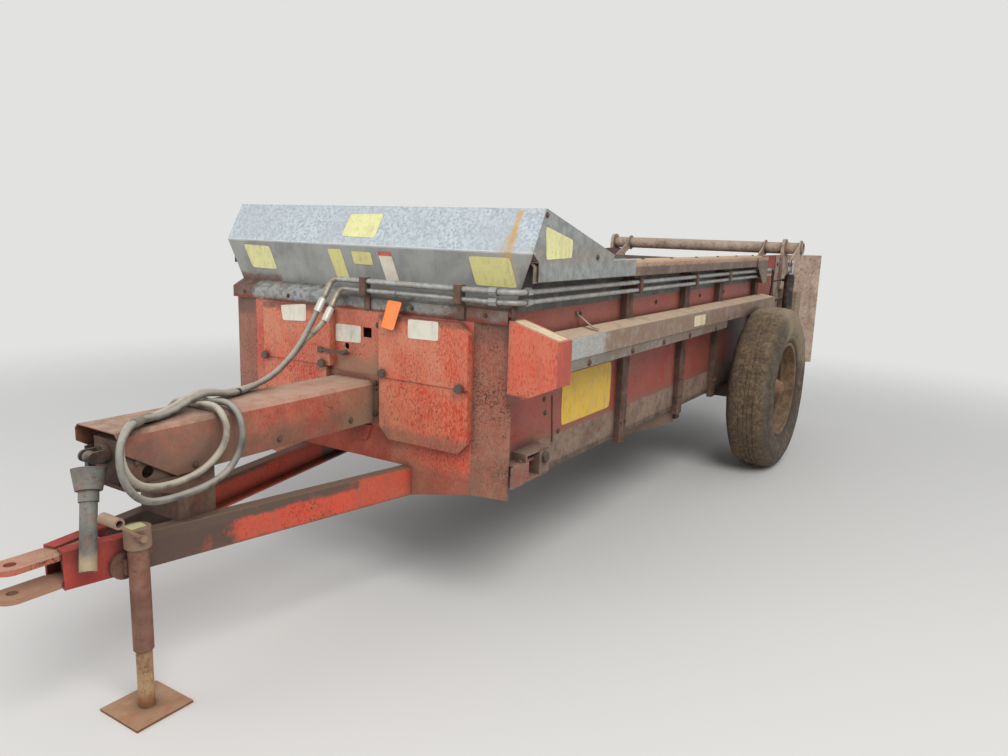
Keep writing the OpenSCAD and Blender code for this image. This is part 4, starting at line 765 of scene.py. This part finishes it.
def smooth_edges_group():
    """A modifier that welds the split corners of a node's mesh and shades its round faces smooth."""
    group = bpy.data.node_groups.new("smooth_edges", "GeometryNodeTree")
    for way in ("INPUT", "OUTPUT"):
        group.interface.new_socket("Geometry", in_out=way, socket_type="NodeSocketGeometry")
    start = group.nodes.new("NodeGroupInput")
    end = group.nodes.new("NodeGroupOutput")
    weld = group.nodes.new("GeometryNodeMergeByDistance")
    weld.inputs["Distance"].default_value = WELD_GAP
    faces = group.nodes.new("GeometryNodeSetShadeSmooth")
    edges = group.nodes.new("GeometryNodeSetShadeSmooth")
    edges.domain = "EDGE"
    angle = group.nodes.new("GeometryNodeInputMeshEdgeAngle")
    limit = group.nodes.new("FunctionNodeCompare")
    limit.operation = "LESS_THAN"
    limit.inputs[1].default_value = SMOOTH_ANGLE
    group.links.new(start.outputs[0], weld.inputs["Geometry"])
    group.links.new(weld.outputs[0], faces.inputs["Geometry"])
    group.links.new(faces.outputs[0], edges.inputs["Geometry"])
    group.links.new(angle.outputs["Unsigned Angle"], limit.inputs[0])
    group.links.new(limit.outputs[0], edges.inputs["Shade Smooth"])
    group.links.new(edges.outputs[0], end.inputs[0])
    return group


def dress_nodes():
    """Gives each CAD node its finish and smooth shading on its round faces."""
    group = smooth_edges_group()
    for name, node in NODES.items():
        node.data.materials.clear()
        node.data.materials.append(FINISH_OF.get(name, BROWN))
        node.modifiers.new("smooth_edges", "NODES").node_group = group


dress_nodes()
for piece, material in zip(LONG_HOSES, (HOSE_GREY, HOSE)):
    piece.data.materials.append(material)
for piece in SHORT_HOSES:
    piece.data.materials.append(HOSE_DARK)


# Tyres, turned from the same outline as the plain solid, with worn grooves and ribs
TYRE_OUTLINE = [
    (0.292, -0.099), (0.305, -0.101), (0.308, -0.101), (0.317, -0.114), (0.335, -0.121), (0.345, -0.126),
    (0.350, -0.1245), (0.356, -0.129), (0.372, -0.1345), (0.395, -0.138), (0.425, -0.140), (0.452, -0.137),
    (0.467, -0.130), (0.470, -0.1265), (0.4745, -0.1265), (0.478, -0.1245), (0.492, -0.119), (0.501, -0.114),
    (0.511, -0.101), (0.520, -0.086), (0.5235, -0.068), (0.5262, -0.050),
    (0.5263, -0.0475), (0.5228, -0.0455), (0.5228, -0.0395), (0.5265, -0.0375),
    (0.5268, -0.0165), (0.5232, -0.0145), (0.5232, -0.0085), (0.5268, -0.0065), (0.5270, 0.0),
]
TYRE_INSIDE = [(0.290, 0.072), (0.365, 0.114), (0.457, 0.108), (0.503, 0.056),
               (0.503, -0.056), (0.457, -0.108), (0.365, -0.114), (0.2875, -0.072)]
TYRE_STEPS = 220
BEAD_R = 0.36
CROWN_R = 0.5


def tyre(side):
    """One bald tyre, lumpy with dried mud, on the same wheel as the plain solid."""
    centre = wheel_centre(side)
    outline = TYRE_OUTLINE + [(r, -w) for r, w in reversed(TYRE_OUTLINE[:-1])] + TYRE_INSIDE
    bm = bmesh.new()
    rings = []
    for k in range(TYRE_STEPS):
        a = 2 * math.pi * k / TYRE_STEPS
        out = Vector((math.cos(a), 0, math.sin(a)))
        ring = []
        for r, w in outline:
            place = centre + r * out + w * Y_AXIS
            lumps = noise.fractal(place * 14, 0.8, 2.2, 4)
            patch = noise.noise(place * 5 + Vector((3, 1, 7)))
            sink = max(0.0012 + 0.0016 * lumps + 0.0012 * patch, 0.0) if r > BEAD_R else 0.0
            if r > CROWN_R:
                place -= sink * out
            else:
                place -= sink * (0.3 * out)
                place -= sink * math.copysign(1, w) * Y_AXIS
            ring.append(bm.verts.new(place))
        rings.append(ring)
    for k in range(TYRE_STEPS):
        here, there = rings[k], rings[(k + 1) % TYRE_STEPS]
        for i in range(len(outline)):
            j = (i + 1) % len(outline)
            bm.faces.new((here[i], here[j], there[j], there[i]))
    piece = add_piece("tyre_tread_" + side, bm, RUBBER, "wheel_" + side)
    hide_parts("tyre_" + side)


HUB_OUTLINE = [(0.058, 0.020), (0.058, 0.052), (0.054, 0.058), (0.049, 0.066), (0.044, 0.085), (0.034, 0.096),
               (0.016, 0.102)]
HUB_SIDES = 40


def hub_cap(side, out):
    """A worn red dust cap on the hub, turned from a few rings."""
    centre = wheel_centre(side)
    bm = bmesh.new()
    skin(bm, [[bm.verts.new(centre + out * y + r * (math.cos(a) * X_AXIS + math.sin(a) * Z_AXIS))
               for a in (2 * math.pi * k / HUB_SIDES for k in range(HUB_SIDES))] for r, y in HUB_OUTLINE])
    add_piece("hub_cap_" + side, bm, RED_CORNER, "wheel_" + side)


for side, sign in (("left", 1), ("right", -1)):
    tyre(side)
    hub_cap(side, sign * Y_AXIS)


# Bolt head and washer, in shares of the bolt's size: lower and upper radius, bottom, top and sides
BOLT_STEPS = [(0.95, 0.88, 0.0, 0.14, 20), (0.66, 0.66, 0.14, 0.46, 6), (0.66, 0.50, 0.46, 0.54, 6)]


def bolts(name, places, axis, size):
    """The bolts of one row in one mesh."""
    bm = bmesh.new()
    turn = Z_AXIS.rotation_difference(axis).to_matrix().to_4x4()
    for place in places:
        spin = Matrix.Rotation(RANDOM.uniform(0, math.pi), 4, "Z")
        for wide, narrow, low, high, sides in BOLT_STEPS:
            lift = Matrix.Translation((0, 0, size * (low + high) / 2))
            bmesh.ops.create_cone(bm, cap_ends=True, segments=sides, depth=size * (high - low),
                                  radius1=size * wide, radius2=size * narrow,
                                  matrix=Matrix.Translation(place) @ turn @ spin @ lift)
    add_piece(name, bm, BOLT, smooth=False)


def row(start, end, count):
    """Evenly spaced places from start to end."""
    return [start.lerp(end, k / (count - 1)) for k in range(count)]


WALL_Y = 0.706
PLATE_Y = 0.712
LIP_Y = 0.8325
STAKE_Y = 0.736
RAIL_Y = 0.755
WING_Y = 0.808
COVER_Y = 0.835
STAKES_X = (-1.075, -1.865, -2.480, -3.300)
LIP_X = (-0.478, -0.915, -1.30, -1.674, -2.12)
WALL_BOLTS_X = (-0.62, -1.476, -2.163, -2.617)
PANEL_BOLTS = ((-0.34, 0.826), (-0.352, 0.768), (-0.470, 0.668))
TUNNEL_BOLTS = ((0.845, 0.724), (0.50, 0.735), (0.14, 0.735))


def fasteners():
    for s, side in ((1, "left"), (-1, "right")):
        out = s * Y_AXIS
        bolts("wall_bolts_" + side, [at(x, s * WALL_Y, 1.150) for x in WALL_BOLTS_X], out, 0.013)
        bolts("stake_bolts_" + side,
              [at(x + dx, s * STAKE_Y, 0.60) for x in STAKES_X for dx in (-0.018, 0.018)], out, 0.015)
        bolts("rail_bolts_" + side,
              row(at(-1.15, s * RAIL_Y, 1.374), at(-3.05, s * RAIL_Y, 1.374), 6), Z_AXIS, 0.011)
        bolts("hood_bolts_" + side, [at(-0.122, s * WING_Y, 1.545), at(-0.55, s * WING_Y, 1.392)], out, 0.012)
        bolts("plate_bolts_" + side,
              [at(x, s * PLATE_Y, z) for x in (-3.93, -4.15) for z in (0.56, 0.78, 1.30)], out, 0.016)
    bolts("lip_bolts", [at(x, LIP_Y, 0.972) for x in LIP_X], Y_AXIS, 0.014)
    bolts("panel_bolts", [at(x, WALL_Y, z) for x, z in PANEL_BOLTS], Y_AXIS, 0.013)
    bolts("front_bolts", [at(0.0, 0.126, z) for z in (0.84, 1.10)], X_AXIS, 0.013)
    bolts("band_bolts", [at(0.003, y, 1.182) for y in (-0.66, -0.38, 0.30, 0.64)], X_AXIS, 0.010)
    bolts("shield_bolts", [at(0.006, s * 0.122, z) for s in (-1, 1) for z in (0.74, 0.865)], X_AXIS, 0.013)
    stand = [at(0.948, -0.098, 0.790), at(0.948, 0.098, 0.790), at(1.035, 0.098, 0.775)]
    bolts("stand_bolts", stand, Y_AXIS, 0.014)
    bolts("tunnel_side_bolts", [at(x, 0.110, z) for x, z in TUNNEL_BOLTS], Y_AXIS, 0.013)


fasteners()


# Blank plates and stickers, on the sheets that carry them
def plate(name, corners, outward, material, curl=0.0012, thick=0.0009, steps=10, down=7):
    """A thin blank sheet between four corners, a little wavy, its corners cut round."""
    a, b, c, d = corners
    bm = bmesh.new()
    rows = []
    for j in range(down + 1):
        v = j / down
        line = []
        for i in range(steps + 1):
            u = i / steps
            place = a.lerp(b, u).lerp(d.lerp(c, u), v)
            rim = max(abs(2 * u - 1), abs(2 * v - 1)) ** 6
            wave = 0.5 + 0.5 * noise.noise(place * 23)
            if abs(2 * u - 1) == abs(2 * v - 1) == 1:
                place = place.lerp((a + b + c + d) / 4, 0.035)
            line.append(bm.verts.new(place + outward * (0.0006 + curl * rim * wave)))
        rows.append(line)
    faces = [bm.faces.new((rows[j][i], rows[j][i + 1], rows[j + 1][i + 1], rows[j + 1][i]))
             for j in range(down) for i in range(steps)]
    made = bmesh.ops.extrude_face_region(bm, geom=faces)["geom"]
    back = [v for v in made if isinstance(v, bmesh.types.BMVert)]
    bmesh.ops.translate(bm, vec=-outward * thick, verts=back)
    add_piece(name, bm, material)


def hood_front(y, z):
    """A place on the hood's front sheet, between its lower edge and the crease."""
    return at(-0.056 + (z - 1.235) * 0.024 / 0.175, y, z)


def hood_upper(y, z):
    """A place on the hood's upper sheet, between the crease and the ridge."""
    return at(-0.032 - (z - 1.410) * 0.087 / 0.157, y, z)


PALE_YELLOW = plain_plate("pale_yellow_plate", (214, 212, 150), 0.35)
YELLOW = plain_plate("yellow_plate", (204, 198, 128), 0.35)
BRIGHT_YELLOW = plain_plate("bright_yellow_plate", (214, 172, 50), 0.4)
WHITE = plain_plate("white_plate", (216, 211, 196), 0.3)
TOP_LABEL = plain_plate("top_label", (214, 196, 160), 0.5)
BANDED = plain_plate("banded_plate", (214, 206, 188), 0.35, (190, 52, 44), dict(z=(1.372, None)))
ORANGE = plain_plate("orange_tag", (242, 130, 58), 0.1)

LEAN = Vector((0.99, 0, -0.136)).normalized()
SLOPE = Vector((0.157, 0, 0.087)).normalized()
SHIELD_FALL = 0.059 / 0.202
SHIELD_UP = Vector((0, SHIELD_FALL, 1)).normalized()


def across(x):
    """Places at one distance ahead of the front wall."""
    return lambda y, z: at(x, y, z)


def along(y):
    """Places at one distance to the left of the middle."""
    return lambda x, z: at(x, y, z)


def jack_top(x, y):
    return at(x, y, 0.590)


def shield_top(x, y):
    return at(x, y, 1.172 - (y - 0.742) * SHIELD_FALL)


# Name, finish, direction out of the sheet, place of a corner on the sheet, corners and steps across
PLATES = [
    ("front_plate_a", PALE_YELLOW, LEAN, hood_front,
     ((-0.703, 1.389), (-0.536, 1.386), (-0.504, 1.287), (-0.660, 1.288)), 10),
    ("front_plate_b", YELLOW, LEAN, hood_front,
     ((-0.184, 1.389), (-0.110, 1.390), (-0.071, 1.267), (-0.139, 1.265)), 10),
    ("front_plate_c", YELLOW, LEAN, hood_front,
     ((-0.050, 1.384), (0.053, 1.384), (0.063, 1.333), (-0.040, 1.334)), 10),
    ("front_plate_d", BANDED, LEAN, hood_front,
     ((0.091, 1.388), (0.158, 1.389), (0.194, 1.271), (0.129, 1.267)), 10),
    ("front_plate_e", YELLOW, LEAN, hood_front,
     ((0.532, 1.390), (0.711, 1.391), (0.740, 1.285), (0.561, 1.285)), 10),
    ("upper_plate", PALE_YELLOW, SLOPE, hood_upper,
     ((-0.110, 1.533), (0.068, 1.536), (0.062, 1.440), (-0.116, 1.442)), 10),
    ("cover_plate_a", WHITE, X_AXIS, across(0.030),
     ((-0.396, 1.142), (-0.245, 1.158), (-0.246, 1.086), (-0.386, 1.078)), 10),
    ("cover_plate_b", WHITE, X_AXIS, across(0.030),
     ((0.304, 1.142), (0.449, 1.144), (0.449, 1.072), (0.304, 1.069)), 10),
    ("centre_plate", WHITE, X_AXIS, across(0.0),
     ((-0.104, 1.087), (0.035, 1.088), (0.035, 1.019), (-0.104, 1.014)), 10),
    ("wing_plate", PALE_YELLOW, Y_AXIS, along(WING_Y),
     ((-0.117, 1.506), (-0.328, 1.459), (-0.323, 1.392), (-0.127, 1.387)), 10),
    ("side_plate", BRIGHT_YELLOW, Y_AXIS, along(WALL_Y),
     ((-0.49, 0.904), (-0.97, 0.904), (-0.97, 0.686), (-0.49, 0.686)), 16),
    ("cover_face_plate", TOP_LABEL, Y_AXIS, along(COVER_Y),
     ((-1.72, 1.070), (-1.90, 1.070), (-1.90, 1.012), (-1.72, 1.012)), 10),
    ("jack_label", PALE_YELLOW, Z_AXIS, jack_top,
     ((1.040, 0.108), (1.090, 0.104), (1.094, 0.146), (1.046, 0.150)), 10),
    ("shield_top_label", TOP_LABEL, SHIELD_UP, shield_top,
     ((-0.086, 0.752), (-0.086, 0.935), (-0.018, 0.935), (-0.018, 0.752)), 10),
]


def plates():
    for name, material, outward, place, corners, steps in PLATES:
        plate(name, [place(*corner) for corner in corners], outward, material, steps=steps)


def tag():
    """Paper tag that hangs from the lower pipe on a loop of wire."""
    corners = [at(0.0385, 0.213, 1.209), at(0.0345, 0.278, 1.204),
               at(0.050, 0.250, 1.095), at(0.053, 0.189, 1.103)]
    plate("paper_tag", corners, X_AXIS, ORANGE, curl=0.004, thick=0.0006, down=12)
    loop = [at(0.022 + 0.0125 * math.cos(a), 0.240 + 0.004 * math.sin(a), 1.232 + 0.0125 * math.sin(a))
            for a in (2 * math.pi * k / 16 for k in range(13))]
    bm = bmesh.new()
    sweep(bm, loop + [at(0.036, 0.243, 1.212), at(0.0385, 0.244, 1.200)], lambda share: 0.0009, 8)
    add_piece("tag_wire", bm, BOLT)


plates()
tag()


# Small parts along the side and on the hoses
def strip(name, path, width, thick, across, material):
    """A flat bar bent along a path, its width along across."""
    bm = bmesh.new()
    rings = []
    for i, place in enumerate(path):
        ahead = heading(path, i)
        flat = across.cross(ahead).normalized()
        rings.append([bm.verts.new(place + u * across * width / 2 + v * flat * thick / 2)
                      for u, v in ((-1, -1), (1, -1), (1, 1), (-1, 1))])
    skin(bm, rings)
    bmesh.ops.bevel(bm, geom=bm.edges[:], offset=thick * 0.2, segments=1, affect="EDGES")
    add_piece(name, bm, material, smooth=False)


def sleeve(name, path, share, proud, length, material):
    """A short sleeve that stands proud of a long hose, at a share of its path."""
    k = round(share * (len(path) - 1))
    ahead = heading(path, k)
    start, end = path[k] - ahead * length / 2, path[k] + ahead * length / 2
    radius = HOSE_D / 2 + proud
    bm = bmesh.new()
    sweep(bm, row(start, end, 9), lambda s: radius * (1.0 + 0.10 * (abs(2 * s - 1) < 0.8)), 16)
    add_piece(name, bm, material)


def side_parts():
    strip("brace_strap", [at(-0.587, 0.7085, 1.162), at(-0.589, 0.712, 1.150), at(-0.590, 0.745, 1.128),
                          at(-0.590, 0.785, 1.101), at(-0.590, 0.812, 1.0965)], 0.014, 0.003, X_AXIS, TAN)
    strip("wall_angle", [at(-0.405, 0.7085, 0.830), at(-0.412, 0.7085, 0.735), at(-0.420, 0.7085, 0.632)],
          0.007, 0.002, X_AXIS, BROWN)
    strip("cover_slit", [at(-1.936, COVER_Y + 0.0003, 1.068), at(-1.937, COVER_Y + 0.0003, 1.045),
                         at(-1.938, COVER_Y + 0.0003, 1.022)], 0.008, 0.001, X_AXIS, BOLT)
    strip("shield_post", [at(-0.02, 0.745, 1.168), at(-0.02, 0.752, 1.205), at(-0.02, 0.747, 1.222)],
          0.030, 0.004, X_AXIS, BOLT)
    upper = route_path(UPPER_ROUTE)
    lower = route_path(LOWER_ROUTE)
    sleeve("hose_sleeves_upper", upper, 0.395, 0.0022, 0.046, FITTING)
    sleeve("hose_sleeves_lower", lower, 0.41, 0.0022, 0.046, FITTING)
    sleeve("hose_ties", upper, 0.19, 0.001, 0.012, BLACK)
    sleeve("hose_ends_upper", upper, 0.022, 0.003, 0.060, CRIMP)
    sleeve("hose_ends_lower", lower, 0.022, 0.003, 0.060, CRIMP)


side_parts()


# Floor, which fades into an even backdrop, and light
BACKDROP = srgb(226, 226, 224)
FADE_FROM = 3.4
FADE_TO = 7.5
SKY = (0.93, 0.96, 1.0, 1.0)
SKY_STRENGTH = 0.68


def make_floor():
    bpy.ops.mesh.primitive_circle_add(vertices=96, radius=60, fill_type="NGON", location=(0, 0, 0))
    floor = bpy.context.object
    floor.name = "studio_floor"
    t = Tree("studio_floor")
    t.finish((204, 202, 198), 0.9)
    reach = t.make("VectorMath", t.place)
    reach.operation = "LENGTH"
    rays = t.make("LightPath").outputs
    seen = t.math("MAXIMUM", rays["Is Camera Ray"], rays["Is Glossy Ray"])
    share = t.times(t.band(reach.outputs["Value"], FADE_FROM, FADE_TO), seen)
    glow = t.make("Emission", Color=BACKDROP)
    blend = t.make("MixShader", share, t.shader.outputs[0], glow.outputs[0])
    t.put(t.out.inputs[0], blend.outputs[0])
    floor.data.materials.append(t.material)


def make_world():
    """A pale sky that lights the object, and an even backdrop for the camera."""
    world = bpy.data.worlds.new("sky")
    bpy.context.scene.world = world
    world.use_nodes = True
    nodes = world.node_tree.nodes
    links = world.node_tree.links
    nodes.clear()
    blend = nodes.new("ShaderNodeMixShader")
    links.new(nodes.new("ShaderNodeLightPath").outputs["Is Camera Ray"], blend.inputs[0])
    for socket, colour, strength in ((blend.inputs[1], SKY, SKY_STRENGTH), (blend.inputs[2], BACKDROP, 1.0)):
        light = nodes.new("ShaderNodeBackground")
        light.inputs["Color"].default_value = colour
        light.inputs["Strength"].default_value = strength
        links.new(light.outputs[0], socket)
    links.new(blend.outputs[0], nodes.new("ShaderNodeOutputWorld").inputs["Surface"])


def area_light(name, place, target, size, power):
    data = bpy.data.lights.new(name, "AREA")
    data.shape = "DISK"
    data.size = size
    data.energy = power
    lamp = bpy.data.objects.new(name, data)
    bpy.context.scene.collection.objects.link(lamp)
    lamp.location = place
    lamp.rotation_mode = "QUATERNION"
    lamp.rotation_quaternion = (Vector(target) - Vector(place)).to_track_quat("-Z", "Y")


make_floor()
make_world()
area_light("key", (4.5, 5.5, 7.5), (0, 0, 0.8), 6.0, 620)
area_light("fill", (7.0, -4.0, 4.0), (0, 0, 0.8), 5.0, 160)
bpy.context.scene.view_settings.view_transform = "Standard"
